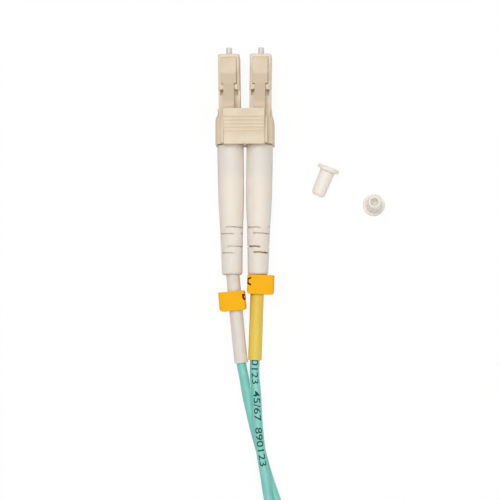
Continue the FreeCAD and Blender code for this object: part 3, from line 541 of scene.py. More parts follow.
ferrule_outline = [
    (0, FERRULE_REAR), (FERRULE_RADIUS - FERRULE_HEEL, FERRULE_REAR),
    (FERRULE_RADIUS, FERRULE_REAR + FERRULE_HEEL),
    (FERRULE_RADIUS, FERRULE_TIP - FERRULE_CHAMFER * 1.2),
    (FERRULE_RADIUS - FERRULE_CHAMFER * 0.3, FERRULE_TIP - FERRULE_CHAMFER * 0.45),
    (FERRULE_RADIUS - FERRULE_CHAMFER, FERRULE_TIP - 2 * CORE_DEPTH),
    (FERRULE_RADIUS * 0.4, FERRULE_TIP), (CORE_RADIUS, FERRULE_TIP),
    (CORE_RADIUS, FERRULE_TIP - CORE_DEPTH), (0, FERRULE_TIP - CORE_DEPTH),
]
ferrule = worked(turned(ferrule_outline, sides=48))
on_each_plug(ferrule, "ferrule", zirconia.material, "ceramic", moves=True)

# Plug housings: square shells of moulded beige plastic, 4.5 mm wide, open round in front for
# the ferrule. The top is sunk for the latch, has a pad behind each of its shoulders, and steps
# down behind those, with two core pockets.
HOUSING_HALF = 2.25
HOUSING_CORNER = 0.5
HOUSING_FRONT, HOUSING_REAR = 15.3, 4.2
RECESS_HALF = 1.6
RECESS_FRONT, RECESS_REAR = 14.6, 8.75
RECESS_FLOOR = 2.0
STEP_EDGE, STEP_FOOT = 7.66, 7.6
STEP_FLOOR = 1.8
PAD_IN, PAD_OUT = 1.15, 1.72
PAD_FRONT, PAD_REAR = 8.68, 7.69
PAD_TOP = 2.95
POCKET_FRONT, POCKET_REAR = 7.62, 6.55
POCKET_IN, POCKET_OUT = 1.1, 1.9
POCKET_FLOOR = 0.9
CHAMBER_HALF = 1.5
MOUTH_RADIUS = 1.5
STOP_FRONT, STOP_REAR = 12.7, 12.1
STOP_RADIUS = 0.95
REAR_HOLE = 1.2
REAR_HOLE_START = 5.0
SPIGOT_END = 5.65
WINDOW_DEPTH = 1.3
WINDOW_FRONT, WINDOW_REAR = 6.3, 5.0
WINDOW_HALF = 0.75
LATCH_ROOT = (14.1, 2.35)
LATCH_HEEL = 0.45
HINGE_GAP = 0.03
PAST = 1.0


def prism(corners, axis, low, high):
    """A bar in millimetres: a flat outline pushed along one axis."""
    skin = bmesh.new()
    turn = {"X": lambda a, b, d: (d, a, b), "Y": lambda a, b, d: (a, d, b),
            "Z": lambda a, b, d: (a, b, d)}[axis]
    rings = [[skin.verts.new(turn(a, b, d)) for a, b in corners] for d in (low, high)]
    for i in range(len(corners)):
        j = (i + 1) % len(corners)
        skin.faces.new((rings[0][i], rings[0][j], rings[1][j], rings[1][i]))
    skin.faces.new(rings[0])
    skin.faces.new(rings[1])
    bmesh.ops.recalc_face_normals(skin, faces=skin.faces)
    return skin


def block(low, high):
    """A box between two corners."""
    (x0, y0, z0), (x1, y1, z1) = low, high
    return prism([(x0, y0), (x1, y0), (x1, y1), (x0, y1)], "Z", z0, z1)


def bend(start, corner, finish, share):
    """The place at a share of the smooth curve from start to finish that the corner steers."""
    rest = 1 - share
    return start * rest ** 2 + corner * (2 * share * rest) + finish * share ** 2


def eased(corners, steps=5):
    """An outline of (a, b, rounding) corners, each rounded off over that length."""
    outline = []
    for i, (a, b, rounding) in enumerate(corners):
        corner = Vector((a, b))
        before = Vector(corners[i - 1][:2])
        after = Vector(corners[(i + 1) % len(corners)][:2])
        start = corner + (before - corner).normalized() * rounding
        finish = corner + (after - corner).normalized() * rounding
        for k in range(steps + 1) if rounding else [0]:
            outline.append(tuple(bend(start, corner, finish, k / steps)))
    return outline


def peg(place, radius, half_width):
    """A round bar across the plug at a (y, z) place."""
    y, z = place
    ring = [(y + radius * math.cos(a), z + radius * math.sin(a)) for a in turns_of(24)]
    return prism(ring, "X", -half_width, half_width)


beige = Finish("beige_plastic")
broad = beige.noise(0.22, 2.0).clear_of(0.3, 0.7)
grain = beige.noise(14.0, 3.0, 0.6)
# Painted shade: the mark read here mixes the beige towards a darker beige, on the latch beam and
# on the clip body.
painted_shade = beige.node("Attribute", output="Fac", attribute_name="painted_shade")
unshaded_beige = beige.mix(broad, paint(225, 207, 180), paint(235, 218, 192))
beige_with_painted_shade = beige.mix(painted_shade, unshaded_beige, paint(208, 188, 162))
beige.surface([beige_with_painted_shade, paint(206, 189, 163)], grain.clear_of(0.55, 0.8) * 0.35,
              (0.36, 0.16), grain, 0.012, strength=0.45, IOR=1.5)

half, past = HOUSING_HALF, HOUSING_HALF + PAST
front, rear, behind = HOUSING_FRONT, HOUSING_REAR, HOUSING_REAR - PAST
corners = [(-half, -half), (half, -half), (half, half), (-half, half)]
shell = prism(eased([(x, z, HOUSING_CORNER) for x, z in corners]), "Y", rear, front)
plan = prism(eased([(-half, rear, 0), (half, rear, 0), (half, front, HOUSING_CORNER),
                    (-half, front, HOUSING_CORNER)]), "Z", -past, past)
profile = prism(eased([(rear, -half, 0), (front, -half, 0.35), (front, half, 0.3),
                       (rear, half, 0)]), "X", -past, past)
cuts = [
    prism([(behind, STEP_FLOOR), (STEP_FOOT, STEP_FLOOR), (STEP_EDGE, half), (STEP_EDGE, past),
           (behind, past)], "X", -past, past),
    block((-RECESS_HALF, RECESS_REAR, RECESS_FLOOR), (RECESS_HALF, RECESS_FRONT, past)),
    peg(LATCH_ROOT, LATCH_HEEL + HINGE_GAP, RECESS_HALF - 0.02),
    turned([(0, front + PAST), (MOUTH_RADIUS + 0.2, front + PAST),
            (MOUTH_RADIUS + 0.2, front + 0.15), (MOUTH_RADIUS, front - 0.2),
            (MOUTH_RADIUS, STOP_FRONT), (STOP_RADIUS, STOP_FRONT), (STOP_RADIUS, STOP_REAR),
            (0, STOP_REAR)], sides=48),
    block((-CHAMBER_HALF, RECESS_REAR, -CHAMBER_HALF),
          (CHAMBER_HALF, STOP_REAR + 0.1, CHAMBER_HALF)),
    turned([(0, REAR_HOLE_START), (REAR_HOLE, REAR_HOLE_START), (REAR_HOLE, RECESS_REAR + PAST),
            (0, RECESS_REAR + PAST)], sides=32),
    block((-CHAMBER_HALF, behind, -CHAMBER_HALF), (CHAMBER_HALF, SPIGOT_END, CHAMBER_HALF)),
]
pads = []
for sign in SIDES.values():
    pads.append(block((PAD_IN * sign, PAD_REAR, RECESS_FLOOR),
                      (PAD_OUT * sign, PAD_FRONT, PAD_TOP)))
    cuts.append(block((POCKET_IN * sign, POCKET_REAR, POCKET_FLOOR),
                      (POCKET_OUT * sign, POCKET_FRONT, past)))
    cuts.append(block((WINDOW_DEPTH * sign, WINDOW_REAR, -WINDOW_HALF),
                      (past * sign, WINDOW_FRONT, WINDOW_HALF)))
housing = worked(shell, cuts=cuts, joins=pads, meets=[plan, profile], easing=0.05)
on_each_plug(housing, "plug_housing", beige.material, "beige_plastic")

# Latches: one sprung arm on each housing, of the same beige plastic. It rises from its root at
# the front, is wide as far as the two locking shoulders, and runs on as a narrow thumb beam.
LATCH_HALF = 1.535
BEAM_HALF = 1.1
LATCH_CREST = (11.15, 3.78)
LATCH_SHOULDER = 8.8
SHADE_FADE = 1.0


def marked(mesh, name, value_at):
    """Gives each point of the mesh a value, which the finish reads by its name."""
    marks = mesh.attributes.new(name, "FLOAT", "POINT").data
    for vertex, mark in zip(mesh.vertices, marks):
        mark.value = value_at(vertex.co)


arm = prism(eased([
    (14.0, 2.2, 0), (14.32, 2.74, 0.1), (LATCH_SHOULDER, 3.5, 0.4), (4.7, 4.72, 0.5),
    (3.8, 4.72, 0.3), (2.1, 4.4, 0.15), (2.1, 4.0, 0.15), (3.8, 4.17, 0.3), (4.7, 4.17, 0.5),
    (LATCH_SHOULDER, 2.9, 0.3),
]), "X", -BEAM_HALF, BEAM_HALF)
wide_part = prism(eased([
    (14.0, 2.1, 0), (14.35, 2.72, 0.1), (*LATCH_CREST, 0.5), (LATCH_SHOULDER, 3.42, 0.06),
    (LATCH_SHOULDER, 2.66, 0.06),
]), "X", -LATCH_HALF, LATCH_HALF)
latch = worked(arm, joins=[wide_part, peg(LATCH_ROOT, LATCH_HEEL, LATCH_HALF)], easing=0.06)
# Painted shade: the latch is painted darker from about its crest back over the shoulders and the
# beam.
marked(latch, "painted_shade", lambda spot: min(1, max(0, (LATCH_CREST[0] - spot.y) / SHADE_FADE + 0.5)))
on_each_plug(latch, "latch", beige.material, "beige_plastic", moves=True)

# Duplex clip: a beige moulding that the two plugs' rear bodies snap into from above, with a
# lip along each side of both channels, a rail on each side of the trigger, and a bar across the
# back that the trigger hangs on.
CLIP_HALF = 6.1
CLIP_REACH = 3.7
CLIP_TOP = 5.75
CLIP_FLOOR = 0.7
NOSE_HALF = 5.6
NOSE_FOOT, NOSE_REAR = 1.2, 2.8
CHANNEL_IN, CHANNEL_OUT = 0.825, 5.425
CHANNEL_TOP = 5.3
MOUTH_IN, MOUTH_OUT = 1.425, 4.4
LIP_FRONT = 1.9
FRONT_TOP = 4.85
CLEAR_TOP = 8.0
RAIL_IN, RAIL_OUT, RAIL_TOP = 4.29, 4.85, 7.45
BAR_FRONT = -2.2
BAR_TOP = 6.3
TRIGGER_HALF = 4.25
TRIGGER_ROOT = (-3.15, 6.4)
TRIGGER_HEEL = 0.42
CLIP_PAINTED_SHADE = 0.5


def on_each_end(mesh, name, node, moves=False):
    """One copy of the mesh for each end of the cord, in place of the solid of that kind."""
    for end, shift in SHIFTS.items():
        place = Matrix.Translation(shift * MM) @ Matrix.Scale(MM, 4)
        piece = fitted(mesh, f"{end}{name}", place, beige.material)
        stand_in(piece, f"{end}{node}" if moves else "root", "beige_plastic", f"{end}{node}")
        carried(piece, end, "left")


right_wall = [
    (CLIP_HALF, 0, 0.25), (CLIP_HALF, CLIP_TOP, 0.9), (RAIL_OUT, CLIP_TOP, 0.1),
    (RAIL_OUT, RAIL_TOP, 0.2), (RAIL_IN, RAIL_TOP, 0.05), (RAIL_IN, CLIP_TOP, 0),
    (MOUTH_OUT, CLIP_TOP, 0), (MOUTH_OUT, CHANNEL_TOP, 0), (CHANNEL_OUT, CHANNEL_TOP, 0),
    (CHANNEL_OUT, CLIP_FLOOR, 0.2),
    (CHANNEL_IN, CLIP_FLOOR, 0.2), (CHANNEL_IN, CHANNEL_TOP, 0), (MOUTH_IN, CHANNEL_TOP, 0),
    (MOUTH_IN, CLIP_TOP, 0.2),
]
left_wall = [(-x, z, r) for x, z, r in reversed(right_wall)]
walls = prism(eased(right_wall + left_wall), "Y", -CLIP_REACH, CLIP_REACH)
nose = [
    (CLIP_HALF + 0.01, -CLIP_REACH - PAST, 0), (CLIP_HALF + 0.01, NOSE_FOOT, 0.5),
    (NOSE_HALF, NOSE_REAR, 0.4), (NOSE_HALF, CLIP_REACH, 0.1),
]
plan = prism(eased(nose + [(-x, y, r) for x, y, r in reversed(nose)]), "Z", -PAST, CLEAR_TOP)
bar = block((-TRIGGER_HALF, -CLIP_REACH, CHANNEL_TOP), (TRIGGER_HALF, BAR_FRONT, BAR_TOP))
clip_cuts = [
    peg(TRIGGER_ROOT, TRIGGER_HEEL + HINGE_GAP, TRIGGER_HALF + 0.1),
    block((-CLIP_HALF - PAST, LIP_FRONT, FRONT_TOP),
          (CLIP_HALF + PAST, CLIP_REACH + PAST, RAIL_TOP + PAST)),
]
clip = worked(walls, meets=[plan], joins=[bar], cuts=clip_cuts, easing=0.06)
# Painted shade: the whole clip body is painted half-way to the darker beige.
marked(clip, "painted_shade", lambda spot: CLIP_PAINTED_SHADE)
on_each_end(clip, "duplex_clip", "clip_body")

# Thumb trigger: a beige plate that rises forwards from its root on the clip's bar, over both
# latches. Five moulded steps across it give the thumb its grip.
TRIGGER_FRONT, TRIGGER_REAR = 3.25, -4.0
DIP_HALF, DIP_DEPTH = 1.1, 0.15
NICK_HALF, NICK_DEPTH = 0.45, 0.2
RIBS = 5
RIB_FIRST = 1.75
RIB_SPACING = 0.7
RIB_LEVEL = 8.7
RIB_SLOPE = 0.3
RIB_HEIGHT = 0.13
RIB_LENGTH = 0.36


class Shaping(Finish):
    """A tree of geometry nodes with named inputs, run once on a working object."""

    def __init__(self, name, inputs):
        self.tree = bpy.data.node_groups.new(name, "GeometryNodeTree")
        sockets = self.tree.interface
        sockets.new_socket("Mesh", in_out="OUTPUT", socket_type="NodeSocketGeometry")
        sockets.new_socket("Mesh", in_out="INPUT", socket_type="NodeSocketGeometry")
        for label, kind in inputs.items():
            sockets.new_socket(label, in_out="INPUT", socket_type=f"NodeSocket{kind}")
        self.start = self.tree.nodes.new("NodeGroupInput")

    def given(self, label):
        return Wire(self, self.start.outputs[label])

    def copies(self, label, count, spot, **sockets):
        """The object of that input, once at each of the spots, as real faces."""
        shape = self.node("GeometryNodeObjectInfo", {"Object": self.given(label)}, "Geometry",
                          transform_space="ORIGINAL")
        instances = self.node("GeometryNodeInstanceOnPoints", {
            "Points": self.node("GeometryNodePoints", {"Count": count, "Position": spot}),
            "Instance": shape, **sockets,
        })
        return self.node("GeometryNodeRealizeInstances", {"Geometry": instances})

    def ends_in(self, mesh):
        """Real faces in the piece's own material leave the tree."""
        whole = self.node("GeometryNodeRealizeInstances", {"Geometry": mesh})
        self.node("NodeGroupOutput", {"Mesh": self.node("GeometryNodeSetMaterial", {
            "Geometry": whole, "Material": self.given("Material"),
        })})

    def run(self, skin, values, tools, easing):
        """The working mesh after the tree, with its edges eased."""
        thing = blank(skin)
        step = thing.modifiers.new("shaping", "NODES")
        step.node_group = self.tree
        for socket in self.tree.interface.items_tree:
            if socket.in_out == "INPUT" and socket.name in values:
                step[socket.identifier] = values[socket.name]
        return eased_mesh(thing, tools, easing)


ribbed = Shaping("ribbed_plate", {
    "Rib": "Object", "Ribs": "Int", "First": "Float", "Spacing": "Float", "Height": "Float",
    "Slope": "Float", "Material": "Material",
})
back = ribbed.node("GeometryNodeInputIndex") * ribbed.given("Spacing")
spot = ribbed.node("CombineXYZ", {
    "Y": ribbed.given("First") - back, "Z": ribbed.given("Height") - back * ribbed.given("Slope"),
})
ribs = ribbed.copies("Rib", ribbed.given("Ribs"), spot)
ribbed.ends_in(ribbed.node("GeometryNodeMeshBoolean", {"Mesh 2": ribs}, operation="UNION",
                           solver="EXACT"))
both = ribbed.tree.nodes["Mesh Boolean"].inputs["Mesh 2"]
ribbed.tree.links.new(ribbed.start.outputs["Mesh"], both)

plate_side = prism(eased([
    (TRIGGER_REAR, 7.35, 0.15), (-2.2, 7.52, 0.4), (1.3, 8.62, 0.8), (TRIGGER_FRONT, 9.0, 0.18),
    (TRIGGER_FRONT, 8.15, 0.18), (-1.75, 6.96, 0.4), (-2.85, 6.5, 0), (-3.3, 6.5, 0),
    (TRIGGER_REAR, 6.82, 0.1),
]), "X", -TRIGGER_HALF, TRIGGER_HALF)
front_dip = prism(eased([
    (-DIP_HALF, TRIGGER_FRONT + PAST, 0), (-DIP_HALF, TRIGGER_FRONT + 0.02, 0.3),
    (0, TRIGGER_FRONT - DIP_DEPTH, 0.7), (DIP_HALF, TRIGGER_FRONT + 0.02, 0.3),
    (DIP_HALF, TRIGGER_FRONT + PAST, 0),
]), "Z", 5, 10)
nick_end = TRIGGER_REAR + NICK_DEPTH
rear_nick = prism(eased([
    (-NICK_HALF, TRIGGER_REAR - PAST, 0), (-NICK_HALF, nick_end, NICK_DEPTH),
    (NICK_HALF, nick_end, NICK_DEPTH), (NICK_HALF, TRIGGER_REAR - PAST, 0),
]), "Z", 6.9, 10)
plate = worked(plate_side, joins=[peg(TRIGGER_ROOT, TRIGGER_HEEL, TRIGGER_HALF)],
               cuts=[front_dip, rear_nick])
skin = bmesh.new()
skin.from_mesh(plate)
rib_side = [(-RIB_LENGTH, -0.3), (0, -0.3), (0, RIB_HEIGHT), (-0.08, RIB_HEIGHT), (-RIB_LENGTH, 0)]
rib_bar = blank(prism(rib_side, "X", -TRIGGER_HALF + 0.02, TRIGGER_HALF - 0.02))
trigger = ribbed.run(skin, {
    "Rib": rib_bar, "Ribs": RIBS, "First": RIB_FIRST, "Spacing": RIB_SPACING,
    "Height": RIB_LEVEL, "Slope": RIB_SLOPE, "Material": beige.material,
}, tools=[rib_bar], easing=0.05)
on_each_end(trigger, "thumb_trigger", "clip_trigger", moves=True)

# Boots: long tapered strain reliefs of soft off-white rubber, pushed over the crimp ring and
# cable. Each of the four rows in the tail has two opposite slots, a quarter turn on from those
# of the row before. The right boot's rear rows go through to the sleeve.
BOOT_FRONT, BOOT_REAR = -3.75, -30.75
BOOT_BORE = 1.65
CRIMP_BORE = 2.3
CABLE_HOLE = 1.05
SLOT_COUNT = 8
FIRST_SLOT = -21.13
ROW_STEP, PAIR_STEP = 1.3, 4.0
SLOT_FLOOR, SLOT_RIM = 1.5, 4.0
SLOT_WIDTH = 0.2
SLOT_BOW = 0.13
FRONT_REACH = 1.28
SLOTS = {"left": (0.0, 1.28, 1.0), "right": (-math.pi / 2, 1.0, 1.6)}
SOFT_GLOW = {
    "Subsurface Weight": 0.5, "Subsurface Radius": (1.0, 1.0, 1.0), "Subsurface Scale": 0.0012,
}

rubber = Finish("boot_rubber")
rubber.surface([paint(236, 225, 213), paint(243, 232, 220)], rubber.noise(0.3),
               (0.48, 0.14), rubber.noise(20.0, 2.0), 0.01, **SOFT_GLOW)

slotted = Shaping("slotted_boot", {
    "Slot": "Object", "First": "Float", "Row Step": "Float", "Pair Step": "Float",
    "First Turn": "Float", "Front Reach": "Float", "Rear Reach": "Float", "Rear Width": "Float",
    "Material": "Material",
})
index = slotted.node("GeometryNodeInputIndex")
pair = (index / 4).apply("FLOOR")
row = (index / 2).apply("FLOOR").apply("MODULO", 2)
opposite = index.apply("MODULO", 2)
pair_place = slotted.given("First") - pair * slotted.given("Pair Step")
spot = slotted.node("CombineXYZ", {"Y": pair_place - row * slotted.given("Row Step")})
turn = slotted.given("First Turn") - row * (math.pi / 2) - opposite * math.pi
front_reach = slotted.given("Front Reach")
reach = front_reach + pair * (slotted.given("Rear Reach") - front_reach)
width = pair * (slotted.given("Rear Width") - 1.0) + 1.0
slits = slotted.copies("Slot", SLOT_COUNT, spot, **{
    "Rotation": slotted.node("CombineXYZ", {"Y": turn}),
    "Scale": slotted.node("CombineXYZ", {"X": reach, "Y": width, "Z": reach}),
})
slotted.ends_in(slotted.node("GeometryNodeMeshBoolean", {
    "Mesh 1": slotted.given("Mesh"), "Mesh 2": slits,
}, operation="DIFFERENCE", solver="EXACT"))

boot_outline = [
    (CRIMP_BORE, -6.5), (CRIMP_BORE, BOOT_FRONT), (2.6, BOOT_FRONT), (2.72, BOOT_FRONT - 0.06),
    (2.75, BOOT_FRONT - 0.2), (2.74, -9.0), (2.7, -14.45), (2.63, -16.5), (2.52, -18.9),
    (2.43, -20.4), (2.4, -20.93), (2.39, -21.33), (2.36, -22.23), (2.35, -22.63), (2.31, -23.8),
    (2.27, -24.93), (2.26, -25.33), (2.24, -26.23), (2.23, -26.63), (2.2, -27.6), (2.15, -30.2),
    (2.12, -30.45), (2.02, -30.66), (1.88, BOOT_REAR), (BOOT_BORE, BOOT_REAR), (BOOT_BORE, -27.6),
    (BOOT_BORE, -23.4), (CABLE_HOLE, -23.3), (CABLE_HOLE, -20.4), (CABLE_HOLE, -10.2),
    (CRIMP_BORE, -10.0), (CRIMP_BORE, -6.5),
]
slot_turns = [math.radians(angle) for angle in range(-12, 119, 26)]
wedge = [(SLOT_FLOOR * math.cos(a), SLOT_FLOOR * math.sin(a)) for a in slot_turns]
wedge += [(SLOT_RIM * math.cos(a), SLOT_RIM * math.sin(a)) for a in reversed(slot_turns)]
for side_name, (first_turn, rear_reach, rear_width) in SLOTS.items():
    slit = prism(wedge, "Y", -SLOT_WIDTH / 2, SLOT_WIDTH / 2)
    for vertex in slit.verts:
        vertex.co.y += SLOT_BOW * max(0, vertex.co.z) / vertex.co.xz.length
    slit_bar = blank(slit)
    boot = slotted.run(turned(boot_outline, sides=72), {
        "Slot": slit_bar, "First": FIRST_SLOT, "Row Step": ROW_STEP, "Pair Step": PAIR_STEP,
        "First Turn": first_turn, "Front Reach": FRONT_REACH, "Rear Reach": rear_reach,
        "Rear Width": rear_width, "Material": rubber.material,
    }, tools=[slit_bar], easing=0.035)
    for end in SHIFTS:
        piece = fitted(boot, f"{end}{side_name}_boot", PLUGS[end, side_name], rubber.material)
        stand_in(piece, "root", "boot_rubber", f"{end}boot_{side_name}")
        carried(piece, end, side_name)

# Sleeves: loose plastic tubes over the cable, held in the boot's tail. White marks the left
# fibre and yellow the right one.
SLEEVE_RADIUS = 1.4
SLEEVE_BORE = 1.07
SLEEVE_FRONT = -23.45
SLEEVES = {
    "left": ("white_sleeve", -49.0, [paint(234, 222, 208), paint(242, 231, 218)]),
    "right": ("yellow_sleeve", -48.4, [paint(244, 199, 74), paint(250, 211, 92)]),
}


def stretch(line, start, finish):
    """The points of a line between two places along Y, with its ends cut there."""
    part = []
    for a, b in zip(line, line[1:]):
        if not part and b.y < start:
            part.append(a.lerp(b, (start - a.y) / (b.y - a.y)))
        if part and b.y < finish:
            part.append(a.lerp(b, (finish - a.y) / (b.y - a.y)))
            break
        if part:
            part.append(b)
    return part


def hollow(line, *sections):
    """A tube along a line, with a bore: a skin outside, one inside, and a rim at each end."""
    skin = bmesh.new()
    outside, inside = [rings_along(skin, line, section, [0.0] * len(line)) for section in sections]
    for i in (0, -1):
        joined_up(skin, [outside[i], inside[i]])
    return skin


for side_name, (slot, rear, shades) in SLEEVES.items():
    tube = Finish(slot)
    tube.surface(shades, tube.noise(0.4), (0.4, 0.14), tube.noise(16.0, 2.0), 0.01, **SOFT_GLOW)
    for end, shift in SHIFTS.items():
        line = stretch(legs[end + side_name], (SLEEVE_FRONT + shift.y) * MM, (rear + shift.y) * MM)
        skin = hollow(line, circle(SLEEVE_RADIUS, sides=36), circle(SLEEVE_BORE, sides=36))
        piece = kept(skin, f"{end}{side_name}_sleeve", tube.material)
        stand_in(piece, "root", slot, f"{end}sleeve_{side_name}")
        carried(piece, end, side_name)

# Polarity markers: glossy orange blocks that slide on the sleeves, with a brown letter over the
# upper inner edge. Each row gives how far the block reaches inwards and outwards from its hole,
# its place on the sleeve, and the letter with the place of its middle.
MARKERS = {"left": (2.2, 3.3, 5.8, "B", 2.45), "right": (2.05, 3.45, 3.0, "A", 2.05)}
MARKER_HALF_HEIGHT = 2.1
MARKER_HALF_LENGTH = 2.0
MARKER_CORNER = 0.6
CORNER_BEND = 1.62 * MARKER_CORNER
FRONT_CORNER, REAR_CORNER = 0.25, 0.7
MARKER_HOLE = 1.5
LETTER_SIZE = 2.5
LETTER_BOLDNESS = 0.06
LETTER_PROUD = 0.012
LETTER_SHIFT = 0.65
LETTER_ROWS, LETTER_COLUMNS = 14, 24
WORD_SPACE = 1.7

orange = Finish("orange_marker")
orange.surface([paint(246, 174, 0), paint(253, 188, 3)], orange.noise(0.5, 4.0, 0.6),
               (0.36, 0.16), orange.noise(8.0, 2.0), 0.008, **{"Specular IOR Level": 0.12})
ink = Finish("brown_ink")
ink.surface([paint(66, 12, 0), paint(92, 24, 2)], ink.noise(6.0, 2.0), (0.5, 0.1),
            **{"Specular IOR Level": 0.05})


def lettering(words, size, boldness):
    """Flat letters in millimetres, read along X, cut finely enough to be laid on a curve."""
    data = bpy.data.curves.new("words", "FONT")
    data.body = words
    data.size = size
    data.space_word = WORD_SPACE
    data.offset = boldness
    data.align_y = "CENTER"
    carrier = linked(data, "words")
    mesh = bpy.data.meshes.new_from_object(carrier)
    bpy.data.objects.remove(carrier)
    skin = bmesh.new()
    skin.from_mesh(mesh)
    bpy.data.meshes.remove(mesh)
    bmesh.ops.triangulate(skin, faces=skin.faces)
    reach = max(vertex.co.x for vertex in skin.verts)
    rows = [((0, size * (i / LETTER_ROWS - 0.5), 0), (0, 1, 0)) for i in range(LETTER_ROWS + 1)]
    columns = [((reach * i / LETTER_COLUMNS, 0, 0), (1, 0, 0)) for i in range(1, LETTER_COLUMNS)]
    for spot, across in rows + columns:
        parts = [*skin.verts, *skin.edges, *skin.faces]
        bmesh.ops.bisect_plane(skin, geom=parts, plane_co=spot, plane_no=across)
    return skin


def over_edge(distance, inner, height):
    """The (x, z) place and outward way on a marker's top and inner side, from above its hole."""
    corner = [(inner - MARKER_CORNER, height), (inner, height), (inner, height - MARKER_CORNER)]
    start, steer, finish = [Vector(place) for place in corner]
    share = min(1, max(0, (distance - start.x) / CORNER_BEND))
    spot = bend(start, steer, finish, share)
    spot.x += min(0, distance - start.x)
    spot.y -= max(0, distance - start.x - CORNER_BEND)
    turn = share * math.pi / 2
    return spot, Vector((math.sin(turn), math.cos(turn)))


for side_name, (inner_reach, outer_reach, distance, words, letter_middle) in MARKERS.items():
    sign = SIDES[side_name]
    inner, outer = -inner_reach * sign, outer_reach * sign
    length, height = MARKER_HALF_LENGTH, MARKER_HALF_HEIGHT
    ring = eased([(x, z, MARKER_CORNER) for x, z in (
        (inner, -height), (outer, -height), (outer, height), (inner, height))])
    plan = prism(eased([(inner, -length, REAR_CORNER), (outer, -length, REAR_CORNER),
                        (outer, length, FRONT_CORNER), (inner, length, FRONT_CORNER)]), "Z", -5, 5)
    hole = turned([(0, -5), (MARKER_HOLE, -5), (MARKER_HOLE, 5), (0, 5)], sides=40)
    marker = worked(prism(ring, "Y", -length, length), meets=[plan], cuts=[hole], easing=0.12,
                    segments=3)
    letter = lettering(words, LETTER_SIZE, LETTER_BOLDNESS)
    middle = max(vertex.co.x for vertex in letter.verts) / 2
    for vertex in letter.verts:
        spot, out = over_edge(vertex.co.y + letter_middle, inner_reach, height)
        spot += out * LETTER_PROUD
        vertex.co = (-spot.x * sign, (vertex.co.x - middle) * sign + LETTER_SHIFT, spot.y)
    bmesh.ops.recalc_face_normals(letter, faces=letter.faces)
    letter = mesh_of(letter, "letter")
    sleeve_front, sleeve_rear = [Vector(point) for point in LEG_ROUTES[side_name][2:]]
    way = (sleeve_front - sleeve_rear).normalized()
    for end, shift in SHIFTS.items():
        place = placed(sleeve_front - way * distance + shift, way)
        body = f"{end}marker_{side_name}"
        piece = fitted(marker, f"{end}{side_name}_marker", place, orange.material)
        stand_in(piece, body, "marker_plastic", body)
        printed = fitted(letter, f"{end}{side_name}_letter", place, ink.material)
        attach(printed, body)
        for part in (piece, printed):
            carried(part, end, side_name)

# Dust caps: soft cream-white covers that were pulled off the ferrules, one standing on its
# flange and one lying on its side. Each is a blind tube with a grip flange.
CAP_LENGTH = 6.4
CAP_FLANGE_RADIUS = 2.3
CAP_FLANGE = 0.8
STANDING_CAP = Vector((26.8, -16.1, 0))
LYING_CAP = Vector((17.5, -8.3, 0))
LYING_HEADING = math.radians(247)
LYING_DROP = math.atan2(0.85, 5.38)
CAP_BORE = 0.7
CAP_BORE_FLOOR = 4.0

cream = Finish("cream_cap")
# Painted light: the bore is painted a paler cream, standing in for light that passes through the
# cap's walls.
bore_painted_light = cream.node("Attribute", output="Fac", attribute_name="bore")
milky = cream.mix(cream.noise(0.6), paint(244, 233, 222), paint(250, 241, 231))
cream.surface([milky, paint(255, 250, 238)], bore_painted_light, (0.42, 0.14), cream.noise(12.0, 2.0),
              0.01, **{**SOFT_GLOW, "Subsurface Weight": 0.4})

rim = CAP_FLANGE_RADIUS
cap_outline = [
    (0, 0.12), (1.1, 0.12), (1.25, 0), (2.15, 0), (rim - 0.03, 0.06), (rim, 0.2),
    (rim, CAP_FLANGE - 0.2), (rim - 0.06, CAP_FLANGE - 0.05), (2.1, CAP_FLANGE),
    (1.85, CAP_FLANGE), (1.7, CAP_FLANGE + 0.04), (1.6, CAP_FLANGE + 0.14),
    (1.56, CAP_FLANGE + 0.3), (1.53, 3.0), (1.48, 5.0), (1.46, 5.75), (1.4, 6.0), (1.26, 6.22),
    (1.1, 6.36), (0.95, CAP_LENGTH), (0.86, 6.37), (0.76, 6.2), (CAP_BORE, 5.96),
    (CAP_BORE, CAP_BORE_FLOOR + 0.1), (CAP_BORE - 0.1, CAP_BORE_FLOOR), (0, CAP_BORE_FLOOR),
]
cap = worked(turned(cap_outline, sides=64))
# Marks the bore's points for the painted light in the cream finish.
marked(cap, "bore", lambda spot: spot.xz.length < CAP_BORE + 0.01 and spot.y > CAP_FLANGE)
lying_way = Vector((math.cos(LYING_DROP) * math.cos(LYING_HEADING),
                    math.cos(LYING_DROP) * math.sin(LYING_HEADING), -math.sin(LYING_DROP)))
lift = CAP_FLANGE * math.sin(LYING_DROP) + CAP_FLANGE_RADIUS * math.cos(LYING_DROP)
for name, spot, way in (("standing", STANDING_CAP, Vector((0, 0, 1))),
                        ("lying", LYING_CAP + Vector((0, 0, lift)), lying_way)):
    piece = fitted(cap, f"{name}_cap", placed(spot, way), cream.material)
    stand_in(piece, f"dust_cap_{name}", "cap_plastic", f"dust_cap_{name}")

# Print: one row of plain counting digits along the right-hand cable, in dark green ink, from
# under the sleeve to beyond the split. It is laid on the jacket and always faces up.
PRINT_WORDS = "0123 45/67 890123"
PRINT_SIZE = 2.05
PRINT_REACH = 22.1
PRINT_BOLDNESS = 0.01
PRINT_START, PRINT_END = -48.2, -78.2
PRINT_PROUD = 0.008

